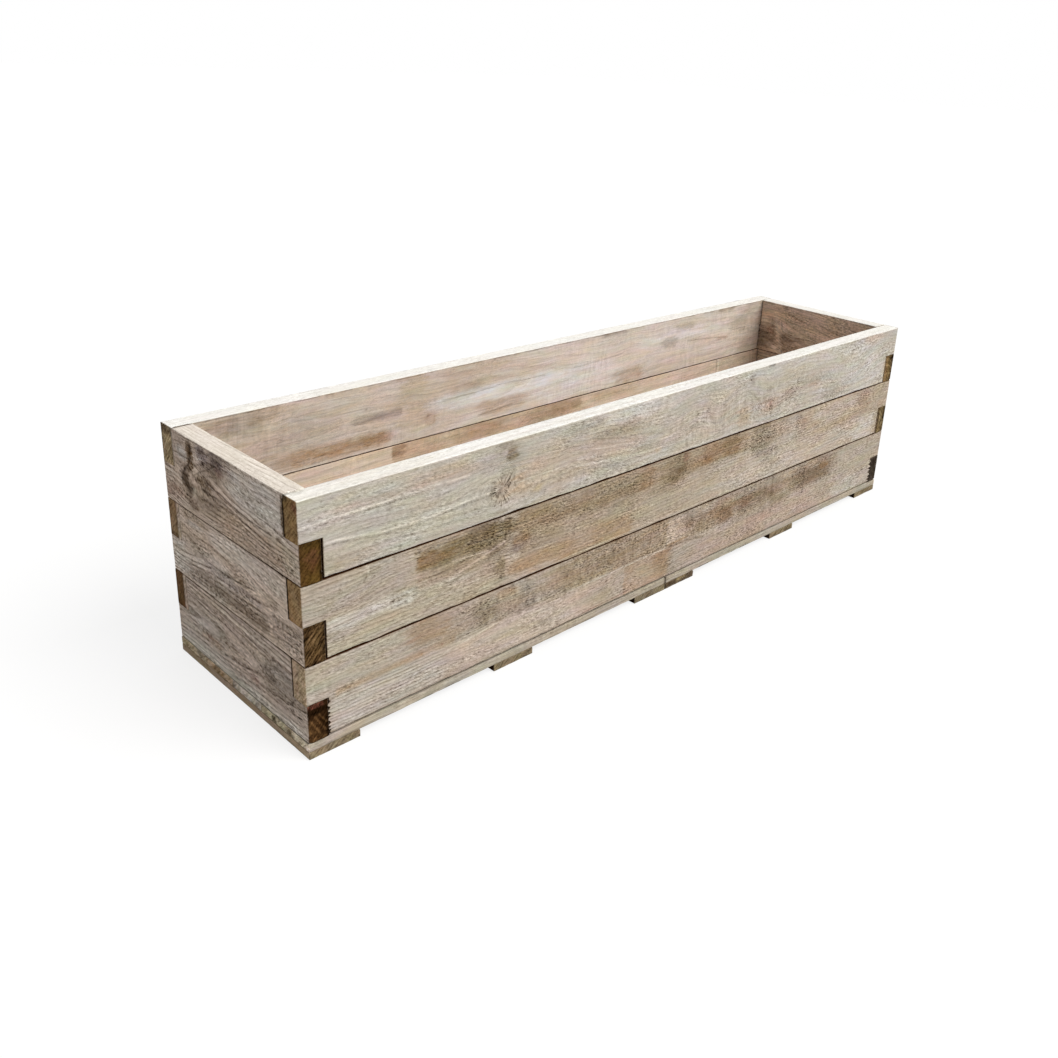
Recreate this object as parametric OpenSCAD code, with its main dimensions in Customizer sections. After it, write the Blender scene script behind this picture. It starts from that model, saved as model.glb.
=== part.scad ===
// Trough raised bed: three courses of sawn boards, lapped at the corners,
// standing on two floor decks that lie on cross bearers.
// The origin is the middle of the footprint at ground level, with +X to the
// right end, -Y to the front and +Z up.

/* [Trough] */
// Length over the two end walls
length = 1800; // [1200:10:2400]
// Width over the front and back walls
width = 450; // [350:5:700]

/* [Wall boards] */
// Thickness of every wall board
wall_t = 40; // [30:1:50]
// Height of one course of wall boards
course_h = 145; // [110:1:200]
// Chamfer sawn along the long edges of a wall board
arris = 1.5; // [0.5:0.5:3]
// Gap between a notch's shoulder and the board lapped into it
lap_gap = 1.5; // [0.5:0.5:4]

/* [Floor decks] */
// Thickness of the floor boards
floor_t = 16; // [12:1:22]
// Width of the narrow floor board at the front
narrow_floor_w = 54; // [40:1:90]
// Drainage gap between floor boards
floor_gap = 2; // [1:0.5:6]
// Gap between the two decks at mid-length
deck_gap = 1.5; // [0.5:0.5:6]

/* [Bearers] */
// Width of a cross bearer along the trough
bearer_w = 99; // [80:1:120]
// Thickness of a cross bearer
bearer_t = 15; // [12:1:30]

/* [Screws] */
// Diameter of a screw's shank
screw_d = 5; // [4:0.5:6]
// Diameter of a screw's countersunk head
screw_head_d = 10; // [8:0.5:12]
// Depth that a corner screw reaches into the course below
corner_bite = 35; // [20:1:50]
// Depth of a corner screw's head below the top edge of its board
corner_head_sink = 3; // [1:0.5:6]
// Wood left under the tip of a bottom corner screw
bottom_tip_cover = 20; // [10:1:40]
// Depth that a base screw reaches up into a wall board
base_bite = 45; // [25:1:60]
// Depth of a base screw's head above the ground face
base_head_sink = 1; // [0.5:0.5:3]

/* [Nails] */
// Diameter of a floor nail's shank
nail_d = 2.8; // [2:0.2:4]
// Diameter of a floor nail's flat head
nail_head_d = 7; // [5:0.5:9]
// Thickness of a floor nail's head
nail_head_t = 1.2; // [0.8:0.2:2]
// Wood left under a floor nail's tip
nail_tip_cover = 2; // [1:0.5:5]
// Distance of a floor nail from the middle of its bearer
nail_stagger = 18; // [14:1:24]

/* [Hidden] */

// In every module a side is -1 for the left end or 1 for the right, a face is
// -1 for the front or 1 for the back, and a course is 0, 1 or 2 from the floor up

// Each board of a course is notched to half its height at the corners
lap_h = course_h / 2;
notch_l = wall_t + lap_gap;

// Levels above the ground
deck_h = bearer_t + floor_t;
function course_z(course) = deck_h + course * course_h;

// One deck, measured from the end of the trough towards mid-length
deck_l = (length - deck_gap) / 2;
floor_count = 5;
wide_floor_w = (width - narrow_floor_w - (floor_count - 1) * floor_gap) / (floor_count - 1);
bearer_mid = [bearer_w / 2, deck_l / 2, deck_l - bearer_w / 2];

// Floor board 0 is the narrow one at the front
function floor_w(i) = i == 0 ? narrow_floor_w : wide_floor_w;
function floor_y(i) =
    i == 0 ? -width / 2 : -width / 2 + narrow_floor_w + floor_gap + (i - 1) * (wide_floor_w + floor_gap);
function floor_mid(i) = floor_y(i) + floor_w(i) / 2;

// Corner screws stand off the corner's diagonal, turn about from course to
// course, so that a screw's tip misses the head of the one below
corner_stagger = wall_t / 6;
function corner_in(course) = wall_t / 2 + (course % 2 == 0 ? corner_stagger : -corner_stagger);
function corner_x(side, course) = side * (length / 2 - corner_in(course));
function corner_y(face, course) = face * (width / 2 - (wall_t - corner_in(course)));
function corner_screw_l(course) =
    course_h - corner_head_sink + (course == 0 ? -bottom_tip_cover : corner_bite);

// Base screws pass up through a bearer and a floor board into a wall board
base_screw_l = deck_h - base_head_sink + base_bite;
long_wall_in = wall_t / 2;
base_screw_x = [(notch_l + bearer_w) / 2, deck_l / 2, deck_l - bearer_w / 2];
end_screw_boards = [1, 3];

// A wide floor board has two nails on each bearer, the narrow one has one
nail_l = deck_h - nail_tip_cover;
nail_spread = wide_floor_w / 4;

// Holes run a little past the faces that they open in
through = 1;
hole_clear = 0.1;
tip_l = 6;
head_rim = 0.5;

timber_pale = "#c9bfae";
timber_warm = "#c2a98c";
timber_grey = "#a39788";
timber_floor = "#cbbb9d";
timber_bearer = "#9a8a68";
zinc = "#b9bcc0";

// Screw pointing down from its head's top face at the origin
module screw(shank_l, clear = 0) {
    shank_r = screw_d / 2 + clear;
    head_r = screw_head_d / 2;
    rotate_extrude($fn = 24)
        polygon([
            [0, 0],
            [head_r, 0],
            [head_r, -head_rim],
            [shank_r, -head_rim - head_r + shank_r],
            [shank_r, -shank_l + tip_l],
            [0, -shank_l - clear]
        ]);
}

// Space that a screw takes in the wood, open above its sunk head
module screw_hole(shank_l, head_sink) {
    screw(shank_l, hole_clear);
    cylinder(h = head_sink + through, r = screw_head_d / 2, $fn = 24);
}

module corner_screw_hole(course) {
    screw_hole(corner_screw_l(course), corner_head_sink);
}

module base_screw_hole() {
    screw_hole(base_screw_l, base_head_sink);
}

// Flat-headed nail pointing down from its head's top face at the origin
module nail(clear = 0) {
    shank_r = nail_d / 2 + clear;
    rotate_extrude($fn = 16)
        polygon([
            [0, 0],
            [nail_head_d / 2, 0],
            [nail_head_d / 2, -nail_head_t],
            [shank_r, -nail_head_t],
            [shank_r, -nail_l + nail_d],
            [0, -nail_l - clear]
        ]);
}

// Space that a nail takes in the wood, open above its head
module nail_hole() {
    nail(hole_clear);
    cylinder(h = through, r = nail_head_d / 2, $fn = 16);
}

// Puts the corner screws of one course, or their holes, at the given sides
module at_corners(course, sides, faces) {
    for (side = sides)
        for (face = faces)
            translate([corner_x(side, course), corner_y(face, course), course_z(course + 1) - corner_head_sink])
                children();
}

// Puts the base screws of one deck, or their holes, pointing up
module at_base_screws(side, faces = [-1, 1], x_places = base_screw_x, end_boards = end_screw_boards) {
    for (x = x_places)
        for (face = faces)
            translate([side * (length / 2 - x), face * (width / 2 - long_wall_in), base_head_sink])
                rotate([180, 0, 0])
                    children();
    for (i = end_boards)
        translate([side * (length / 2 - wall_t / 2), floor_mid(i), base_head_sink])
            rotate([180, 0, 0])
                children();
}

// Puts the nails of one floor board on one bearer, or their holes
module at_nails(side, board, bearer) {
    x = length / 2 - bearer_mid[bearer];
    if (board == 0)
        translate([side * (x + nail_stagger), floor_mid(board), deck_h])
            children();
    else
        for (across = [-1, 1])
            translate([side * (x + across * nail_stagger), floor_mid(board) + across * nail_spread, deck_h])
                children();
}

// Cross-section of a wall board, on its lower edge, with sawn arrises
module wall_section() {
    polygon([
        [-wall_t / 2, arris],
        [-wall_t / 2 + arris, 0],
        [wall_t / 2 - arris, 0],
        [wall_t / 2, arris],
        [wall_t / 2, course_h - arris],
        [wall_t / 2 - arris, course_h],
        [-wall_t / 2 + arris, course_h],
        [-wall_t / 2, course_h - arris]
    ]);
}

// Plain wall board along X, centred, standing on its lower edge
module wall_plank(plank_l) {
    rotate([90, 0, 90])
        translate([0, 0, -plank_l / 2])
            linear_extrude(height = plank_l)
                wall_section();
}

// Block cut from both ends of a wall board to make its laps
module lap_cuts(plank_l, z) {
    for (end = [-1, 1])
        translate([end * plank_l / 2 - notch_l, -wall_t, z])
            cube([2 * notch_l, 2 * wall_t, lap_h + through]);
}

// Front or back wall board, whose upper half runs the whole length
module long_board(face, course) {
    difference() {
        translate([0, face * (width - wall_t) / 2, course_z(course)])
            difference() {
                wall_plank(length);
                lap_cuts(length, -through);
            }
        at_corners(course, [-1, 1], [face]) corner_screw_hole(course);
        if (course < 2)
            at_corners(course + 1, [-1, 1], [face]) corner_screw_hole(course + 1);
        if (course == 0)
            for (side = [-1, 1])
                at_base_screws(side, [face], end_boards = []) base_screw_hole();
    }
}

// End wall board, whose lower half runs the whole width
module end_board(side, course) {
    difference() {
        translate([side * (length - wall_t) / 2, 0, course_z(course)])
            rotate([0, 0, 90])
                difference() {
                    wall_plank(width);
                    lap_cuts(width, lap_h);
                }
        at_corners(course, [side], [-1, 1]) corner_screw_hole(course);
        if (course == 0)
            at_base_screws(side, x_places = []) base_screw_hole();
    }
}

// Floor board of one deck
module floor_board(side, i) {
    x_mid = side * (length - deck_l) / 2;
    color(timber_floor)
        difference() {
            translate([x_mid - deck_l / 2, floor_y(i), bearer_t])
                cube([deck_l, floor_w(i), floor_t]);
            for (bearer = [0 : len(bearer_mid) - 1])
                at_nails(side, i, bearer) nail_hole();
            if (i == 0)
                at_base_screws(side, [-1], end_boards = []) base_screw_hole();
            if (i == floor_count - 1)
                at_base_screws(side, [1], end_boards = []) base_screw_hole();
            at_base_screws(side, [], end_boards = [for (b = end_screw_boards) if (b == i) b])
                base_screw_hole();
        }
}

// Cross bearer of one deck, counted from the end of the trough
module bearer(side, i) {
    color(timber_bearer)
        difference() {
            translate([side * (length / 2 - bearer_mid[i]) - bearer_w / 2, -width / 2, 0])
                cube([bearer_w, width, bearer_t]);
            for (board = [0 : floor_count - 1])
                at_nails(side, board, i) nail_hole();
            at_base_screws(side, x_places = [base_screw_x[i]], end_boards = i == 0 ? end_screw_boards : [])
                base_screw_hole();
        }
}

module corner_screws(course) {
    color(zinc)
        at_corners(course, [-1, 1], [-1, 1]) screw(corner_screw_l(course));
}

module base_screws(side) {
    color(zinc)
        at_base_screws(side) screw(base_screw_l);
}

module floor_nails(side) {
    color(zinc)
        for (board = [0 : floor_count - 1])
            for (bearer = [0 : len(bearer_mid) - 1])
                at_nails(side, board, bearer) nail();
}

module front_board_bottom() { color(timber_pale) long_board(-1, 0); }
module front_board_middle() { color(timber_warm) long_board(-1, 1); }
module front_board_top() { color(timber_pale) long_board(-1, 2); }
module back_board_bottom() { color(timber_warm) long_board(1, 0); }
module back_board_middle() { color(timber_warm) long_board(1, 1); }
module back_board_top() { color(timber_pale) long_board(1, 2); }
module left_end_board_bottom() { color(timber_grey) end_board(-1, 0); }
module left_end_board_middle() { color(timber_grey) end_board(-1, 1); }
module left_end_board_top() { color(timber_grey) end_board(-1, 2); }
module right_end_board_bottom() { color(timber_grey) end_board(1, 0); }
module right_end_board_middle() { color(timber_grey) end_board(1, 1); }
module right_end_board_top() { color(timber_grey) end_board(1, 2); }
module left_floor_board_1() { floor_board(-1, 0); }
module left_floor_board_2() { floor_board(-1, 1); }
module left_floor_board_3() { floor_board(-1, 2); }
module left_floor_board_4() { floor_board(-1, 3); }
module left_floor_board_5() { floor_board(-1, 4); }
module right_floor_board_1() { floor_board(1, 0); }
module right_floor_board_2() { floor_board(1, 1); }
module right_floor_board_3() { floor_board(1, 2); }
module right_floor_board_4() { floor_board(1, 3); }
module right_floor_board_5() { floor_board(1, 4); }
module left_end_bearer() { bearer(-1, 0); }
module left_middle_bearer() { bearer(-1, 1); }
module left_joint_bearer() { bearer(-1, 2); }
module right_joint_bearer() { bearer(1, 2); }
module right_middle_bearer() { bearer(1, 1); }
module right_end_bearer() { bearer(1, 0); }
module corner_screws_bottom() { corner_screws(0); }
module corner_screws_middle() { corner_screws(1); }
module corner_screws_top() { corner_screws(2); }
module left_base_screws() { base_screws(-1); }
module right_base_screws() { base_screws(1); }
module left_floor_nails() { floor_nails(-1); }
module right_floor_nails() { floor_nails(1); }

front_board_bottom();
front_board_middle();
front_board_top();
back_board_bottom();
back_board_middle();
back_board_top();
left_end_board_bottom();
left_end_board_middle();
left_end_board_top();
right_end_board_bottom();
right_end_board_middle();
right_end_board_top();
left_floor_board_1();
left_floor_board_2();
left_floor_board_3();
left_floor_board_4();
left_floor_board_5();
right_floor_board_1();
right_floor_board_2();
right_floor_board_3();
right_floor_board_4();
right_floor_board_5();
left_end_bearer();
left_middle_bearer();
left_joint_bearer();
right_joint_bearer();
right_middle_bearer();
right_end_bearer();
corner_screws_bottom();
corner_screws_middle();
corner_screws_top();
left_base_screws();
right_base_screws();
left_floor_nails();
right_floor_nails();
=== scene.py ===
"""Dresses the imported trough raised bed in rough-sawn, pressure-treated softwood.

Every wall board, floor board and bearer is a closed surface worked out on a grid, painted with the growth
rings, knots, stains and saw marks of its own piece of timber. The screws and nails keep their CAD shapes.
"""

import math

import bpy
import numpy as np
from bpy.props import FloatProperty, FloatVectorProperty, PointerProperty
from bpy.types import Operator, Panel, PropertyGroup
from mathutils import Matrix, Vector


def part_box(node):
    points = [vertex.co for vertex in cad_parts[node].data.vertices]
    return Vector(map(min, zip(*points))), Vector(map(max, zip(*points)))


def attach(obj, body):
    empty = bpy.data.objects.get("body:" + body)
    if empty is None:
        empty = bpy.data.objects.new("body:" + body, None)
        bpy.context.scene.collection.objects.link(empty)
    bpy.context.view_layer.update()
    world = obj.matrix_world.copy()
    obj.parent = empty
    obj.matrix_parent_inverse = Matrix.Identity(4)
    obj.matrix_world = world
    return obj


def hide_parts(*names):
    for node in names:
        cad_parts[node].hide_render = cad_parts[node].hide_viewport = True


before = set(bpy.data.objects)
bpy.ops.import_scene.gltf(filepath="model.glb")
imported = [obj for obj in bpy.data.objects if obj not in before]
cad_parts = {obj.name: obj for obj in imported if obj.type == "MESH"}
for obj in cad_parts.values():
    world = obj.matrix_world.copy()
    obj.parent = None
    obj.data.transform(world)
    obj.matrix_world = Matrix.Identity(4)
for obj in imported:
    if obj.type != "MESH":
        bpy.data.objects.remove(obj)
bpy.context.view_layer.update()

bl_info = {
    "name": "Trough Raised Bed",
    "version": (1, 0, 0),
    "blender": (4, 5, 0),
    "location": "View3D > Sidebar > Trough",
    "description": "Dresses a packed trough raised bed in sawn timber",
    "category": "Object",
}

MM = 0.001


def linear(code):
    """Linear red, green and blue of a colour written as six hexadecimal digits."""
    shades = [int(code[i:i + 2], 16) / 255 for i in (0, 2, 4)]
    return tuple(s / 12.92 if s <= 0.04045 else ((s + 0.055) / 1.055) ** 2.4 for s in shades)


# Stains and marks found on this timber. The seam colour and the darkest brown are also painted as shade:
# inside the seams, on lap shoulders, on butt ends and on the bearers' sides under the deck
FROST = linear("edeceb")
CREAM = linear("e2d9ca")
PINK = linear("dac6b6")
BLEACH = linear("d6d1c9")
ASH = linear("b0a69b")
SAND = linear("b79f86")
ROSE = linear("bfa493")
MOSS = linear("b7b19f")
STRAW = linear("bda67c")
TAN = linear("a98560")
DUN = linear("8d7659")
RUST = linear("8a6641")
CHESTNUT = linear("5d4029")
OLIVE = linear("746344")
UMBER = linear("64503b")
SMOKE = linear("7d7064")
PLUM = linear("776a6d")
BARK = linear("483a2d")
# Darkest brown of stains, also painted as shade on lap shoulders, butt ends and the bearers' sides under the
# deck
SOOT_AND_SHADE = linear("2e1e12")
INK = linear("150c05")
# Colour inside the seams between courses: painted shade in the gaps, with some dirt
SEAM_DIRT_AND_SHADE = linear("44260f")
WINE = linear("7a4c3e")


class TroughSizes(PropertyGroup):
    """Sizes of the timber that a user may change."""

    arris: FloatProperty(
        name="Arris",
        description="Radius worn along the long edges of a wall board",
        default=0.0016,
        unit="LENGTH",
    )
    seam: FloatProperty(
        name="Seam",
        description="Widest gap under a wall board, where it is lifted off the course below",
        default=0.0044,
        unit="LENGTH",
    )
    notch: FloatProperty(
        name="Notch",
        description="Length of the half lap cut at each end of a wall board, without its gap",
        default=0.0400,
        unit="LENGTH",
    )
    cell_length: FloatProperty(
        name="Cell length",
        description="Length of a grid cell along the front boards",
        default=0.0038,
        unit="LENGTH",
    )
    cell_height: FloatProperty(
        name="Cell height",
        description="Height of a grid cell on the front boards",
        default=0.0019,
        unit="LENGTH",
    )


class TroughColours(PropertyGroup):
    """Colours of the timber and the fastenings before any stain."""

    front: FloatVectorProperty(
        name="Front boards",
        description="Weathered outer faces of the front and back boards",
        subtype="COLOR",
        default=linear("c0b2a0"),
    )
    inner: FloatVectorProperty(
        name="Inner faces",
        description="Inner faces of the front and back boards",
        subtype="COLOR",
        default=linear("d8c6b4"),
    )
    end_face: FloatVectorProperty(
        name="Left end",
        description="Outer faces of the left end boards",
        subtype="COLOR",
        default=linear("cdbaaa"),
    )
    end_inner: FloatVectorProperty(
        name="Right end inside",
        description="Inner faces of the right end boards",
        subtype="COLOR",
        default=linear("edd2bc"),
    )
    rim: FloatVectorProperty(
        name="Rim",
        description="Top edges of the boards",
        subtype="COLOR",
        default=linear("f7f4ee"),
    )
    end_grain: FloatVectorProperty(
        name="End grain",
        description="Sawn ends of the wall boards",
        subtype="COLOR",
        default=linear("7b6448"),
    )
    floor_board: FloatVectorProperty(
        name="Floor boards",
        description="Floor boards and their edges",
        subtype="COLOR",
        default=linear("b0a696"),
    )
    bearer: FloatVectorProperty(
        name="Bearers",
        description="Cross bearers",
        subtype="COLOR",
        default=linear("867760"),
    )
    zinc: FloatVectorProperty(
        name="Zinc",
        description="Plating of the screws and nails",
        subtype="COLOR",
        default=linear("b9bcc0"),
    )


class TroughStage(PropertyGroup):
    """Camera and light."""

    camera_place: FloatVectorProperty(
        name="Camera place",
        description="Where the camera stands",
        subtype="TRANSLATION",
        default=(-1.63486, -1.50967, 1.11822),
    )
    camera_turn: FloatVectorProperty(
        name="Camera turn",
        description="How the camera is turned",
        subtype="EULER",
        default=(math.radians(69.0051), math.radians(-2.7625), math.radians(-45.2516)),
    )
    lens: FloatProperty(name="Lens", description="Focal length in millimetres", default=35.596)
    shift_x: FloatProperty(name="Shift across", description="Sideways lens shift", default=-0.04979)
    shift_y: FloatProperty(name="Shift up", description="Upward lens shift", default=-0.07551)
    sky: FloatProperty(name="Sky", description="Strength of the even light", default=0.42)
    key: FloatProperty(name="Key light", description="Strength of the main light", default=2.5)


# Odd whole numbers that spread a lattice corner's three counts and the seed over all bits, and mix them
SPREAD = (73856093, 19349663, 83492791)
SEED_SPREAD = 2654435761
MIX = 1274126177


def hashed(counts, seed):
    """A random number from 0 to 1 for each lattice corner, by mixing its three whole-number counts."""
    n = (counts[0] * SPREAD[0]) ^ (counts[1] * SPREAD[1]) ^ (counts[2] * SPREAD[2]) ^ (seed * SEED_SPREAD)
    n = ((n ^ (n >> 13)) & 0x7FFFFFFF) * MIX
    n = (n & 0x7FFFFFFF) ^ ((n & 0x7FFFFFFF) >> 15)
    return (n & 0xFFFF) / 65535.0


def noise(seed, x, y=0.0, z=0.0):
    """Smooth noise from -1 to 1: a random number at each corner of a unit lattice, blended along each
    axis by three times the square less twice the cube of the way between corners."""
    x, y, z = np.broadcast_arrays(x, y, z)
    cell = [np.floor(v).astype(np.int64) for v in (x, y, z)]
    way = [v - c for v, c in zip((x, y, z), cell)]
    smooth = [w * w * (3 - 2 * w) for w in way]
    total = np.zeros(x.shape)
    for i in (0, 1):
        for j in (0, 1):
            for k in (0, 1):
                weight = (smooth[0] if i else 1 - smooth[0]) * (smooth[1] if j else 1 - smooth[1])
                weight = weight * (smooth[2] if k else 1 - smooth[2])
                total += weight * hashed((cell[0] + i, cell[1] + j, cell[2] + k), seed)
    return 2 * total - 1


def layered(seed, x, y=0.0, z=0.0, layers=3):
    """Noise plus the same at twice the fineness and half the strength, and so on, kept within -1 to 1."""
    total = sum(noise(seed + 31 * n, x * 2 ** n, y * 2 ** n, z * 2 ** n) / 2 ** n for n in range(layers))
    return total / (2 - 2 ** (1 - layers))


def ease(t):
    """0 below 0, 1 above 1, and three times the square less twice the cube between."""
    t = np.clip(t, 0, 1)
    return t * t * (3 - 2 * t)


def mixed(a, b, share):
    """Colours a and b, in the given share of b for each point."""
    return a + (np.asarray(b) - a) * np.asarray(share)[:, None]


def by_face(pair, outer):
    """A value of its own for the outer and the inner face, blended by the share of the outer one."""
    return pair[1] + (pair[0] - pair[1]) * outer


# Width of the narrow cells beside an edge or a cut, in millimetres
NARROW = 0.8


def grid_lines(stops, step):
    """Places of the grid lines: each stretch between stops starts and ends with a narrow cell, and is
    divided evenly between."""
    lines = []
    for a, b in zip(stops[:-1], stops[1:]):
        lines.append(a)
        cells = max(1, math.ceil((b - a - 2 * NARROW) / step))
        lines += list(np.linspace(a + NARROW, b - NARROW, cells + 1))
    return np.array(lines + [stops[-1]])


# Boards shorter than this many millimetres show their ends, and get a finer rim
SHORT_BOARD = 600


def board_surface(length, height, depth, arris, step, rise, notch=None):
    """A board as two copies of one grid, over its outer and its inner face, joined by a rim.

    The face's outline is a rectangle, or one with both lower or both upper corners cut away, inset by the
    arris. Each point of that outline is carried through the thickness along a profile: a quarter round of
    the arris' radius outwards, straight across, and a quarter round back in."""
    cuts, lap = [], []
    if notch:
        where, start, finish, level = notch
        cuts = [start + arris, length - finish - arris]
        lap = [level + arris if where == "lower" else level - arris]
    lines_u = grid_lines([arris] + cuts + [length - arris], step)
    lines_v = grid_lines([arris] + lap + [height - arris], rise)
    mid_u = (lines_u[1:] + lines_u[:-1]) / 2
    mid_v = (lines_v[1:] + lines_v[:-1]) / 2
    kept = np.ones((len(mid_u), len(mid_v)), bool)
    if notch:
        outside = (mid_u < cuts[0]) | (mid_u > cuts[1])
        cut = mid_v < lap[0] if where == "lower" else mid_v > lap[0]
        kept[np.ix_(outside, cut)] = False
    ci, cj = np.nonzero(kept)
    many = len(lines_v)
    near, far = ci * many + cj, (ci + 1) * many + cj
    corners = np.stack([near, far, far + 1, near + 1], 1)
    used, cells = np.unique(corners, return_inverse=True)
    cells = cells.reshape(-1, 4)
    face_u = lines_u[used // many]
    face_v = lines_v[used % many]
    count = len(used)

    # Edges with a cell on one side only, walked anticlockwise as seen from outside
    sides = np.stack([cells, np.roll(cells, -1, axis=1)], 2).reshape(-1, 2)
    key = sides.min(1) * count + sides.max(1)
    _, first, times = np.unique(key, return_index=True, return_counts=True)
    rim = sides[first[times == 1]]
    du = np.sign(face_u[rim[:, 1]] - face_u[rim[:, 0]])
    dv = np.sign(face_v[rim[:, 1]] - face_v[rim[:, 0]])
    out_u = np.zeros(count)
    out_v = np.zeros(count)
    for end in (0, 1):
        np.add.at(out_u, rim[:, end], dv)
        np.add.at(out_v, rim[:, end], -du)
    out_u = np.clip(out_u, -1, 1)
    out_v = np.clip(out_v, -1, 1)
    edge_points, rim_index = np.unique(rim, return_inverse=True)
    rim_index = rim_index.reshape(-1, 2)

    turn = np.radians([22.5, 45, 67.5, 90])
    arc_out = arris * np.sin(turn)
    arc_deep = arris * (1 - np.cos(turn))
    slice_depth = 2.5 if length < SHORT_BOARD else 5.0
    slices = math.ceil(depth / slice_depth)
    straight = np.linspace(arris, depth - arris, max(2, slices) + 1)[1:-1]
    out = np.concatenate([arc_out, np.full(len(straight), arris), arc_out[::-1]])
    deep = np.concatenate([arc_deep, straight, (depth - arc_deep)[::-1]])
    rings = len(out)
    ring_u = face_u[edge_points] + out_u[edge_points] * out[:, None]
    ring_v = face_v[edge_points] + out_v[edge_points] * out[:, None]
    ring_c = np.broadcast_to(deep[:, None], ring_u.shape)
    share = np.broadcast_to((out / arris)[:, None], ring_u.shape)

    edge_count = len(edge_points)
    ids = np.empty((rings + 2, edge_count), int)
    ids[0] = edge_points
    ids[1:-1] = 2 * count + np.arange(rings * edge_count).reshape(rings, edge_count)
    ids[-1] = edge_points + count
    a = ids[:-1][:, rim_index[:, 1]]
    b = ids[:-1][:, rim_index[:, 0]]
    c = ids[1:][:, rim_index[:, 0]]
    d = ids[1:][:, rim_index[:, 1]]
    walls = np.stack([a, b, c, d], 2).reshape(-1, 4)
    faces = np.concatenate([cells, cells[:, ::-1] + count, walls])
    none = np.zeros(count)
    return {
        "u": np.concatenate([face_u, face_u, ring_u.ravel()]),
        "v": np.concatenate([face_v, face_v, ring_v.ravel()]),
        "c": np.concatenate([none, none + depth, ring_c.ravel()]),
        "out_u": np.concatenate([none, none, np.tile(out_u[edge_points], rings)]),
        "out_v": np.concatenate([none, none, np.tile(out_v[edge_points], rings)]),
        "rim": np.concatenate([none, none, share.ravel()]),
        "outer": np.concatenate([none + 1, none, (ring_c < depth / 2).ravel()]),
        "faces": faces,
        "length": length,
        "height": height,
        "depth": depth,
    }


# What a board says of its timber, with the value where it says nothing. Lengths are in millimetres.
# heart, lean: the pith line's height and depth at mid-length, and its two slopes along the board
# wander, ripple, ring: how far the pith line strays, how far a ring strays, and a ring's width
# knots to torn, bends, saws: marks, as the note on BOARDS says
# marked: the face that a mark lies on when its row names none; chance: faces marked by chance
# ends, outer, inner, rim: colours of its own for the two sawn ends, the faces and the top edge
# gaps: how much longer the laps are cut at either end; seam: share of the widest seam at either end
# rough, fibres, gouged, tinted, ringed: nap, fibres, torn furrows, tints and dark rings, each of them as a
# pair for the outer and the inner face; coarser: how much the nap and the furrows grow towards the far end
# crest, grainy: painted shade along the top arris, and strength of the rings on the sawn ends
# swirl, slant: how far the fibres stray, and to which side their fine pattern leans
# flip: whether the marks are counted from the other end, as on a face seen from within
TIMBER = {
    "seed": 1,
    "heart": (60.0, 95.0),
    "lean": (0.0, 0.0),
    "wander": 6.0,
    "ripple": 1.8,
    "ring": 6.0,
    "knots": (),
    "patches": (),
    "lines": (),
    "dots": (),
    "ridges": (),
    "torn": (),
    "ends": (None, None),
    "outer": None,
    "inner": None,
    "rim": None,
    "gaps": (1.5, 1.5),
    "seam": (1.0, 0.65),
    "rough": (1.0, 0.6),
    "coarser": 0.0,
    "fibres": (1.0, 1.5),
    "gouged": (0.5, 0.0),
    "tinted": (1.0, 1.2),
    "ringed": (0.0, 0.0),
    "crest": 0.55,
    "grainy": 1.0,
    "swirl": 3.0,
    "bends": (),
    "saws": (),
    "slant": 1,
    "flip": False,
    "marked": "out",
    "chance": ("in",),
}

# Each board's own timber, in millimetres. A mark on a face lies so far along from the left, as seen in front
# of that face, and so high above the foot of the walls. One on a sawn end, start or finish, lies so deep in
# from the outer face and so high, and one on the rim so far along and so deep.
# patch: (face, from, to, low, high, soft start, soft end, soft across, ragged, strength, colour)
# line: (face, points, half width, strength, colour)
# dot, knot: (face, along, up, radius, strength, colour)
# saw: a patch without colour. ridge: a patch on the outer face, without face and colour
# bend: (along, up, reach along, reach up, slope of the fibres there)
# torn: (end, low, high, height of a tooth, reach), for splinters at the shoulder of a lap
BOARDS = {}

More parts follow.
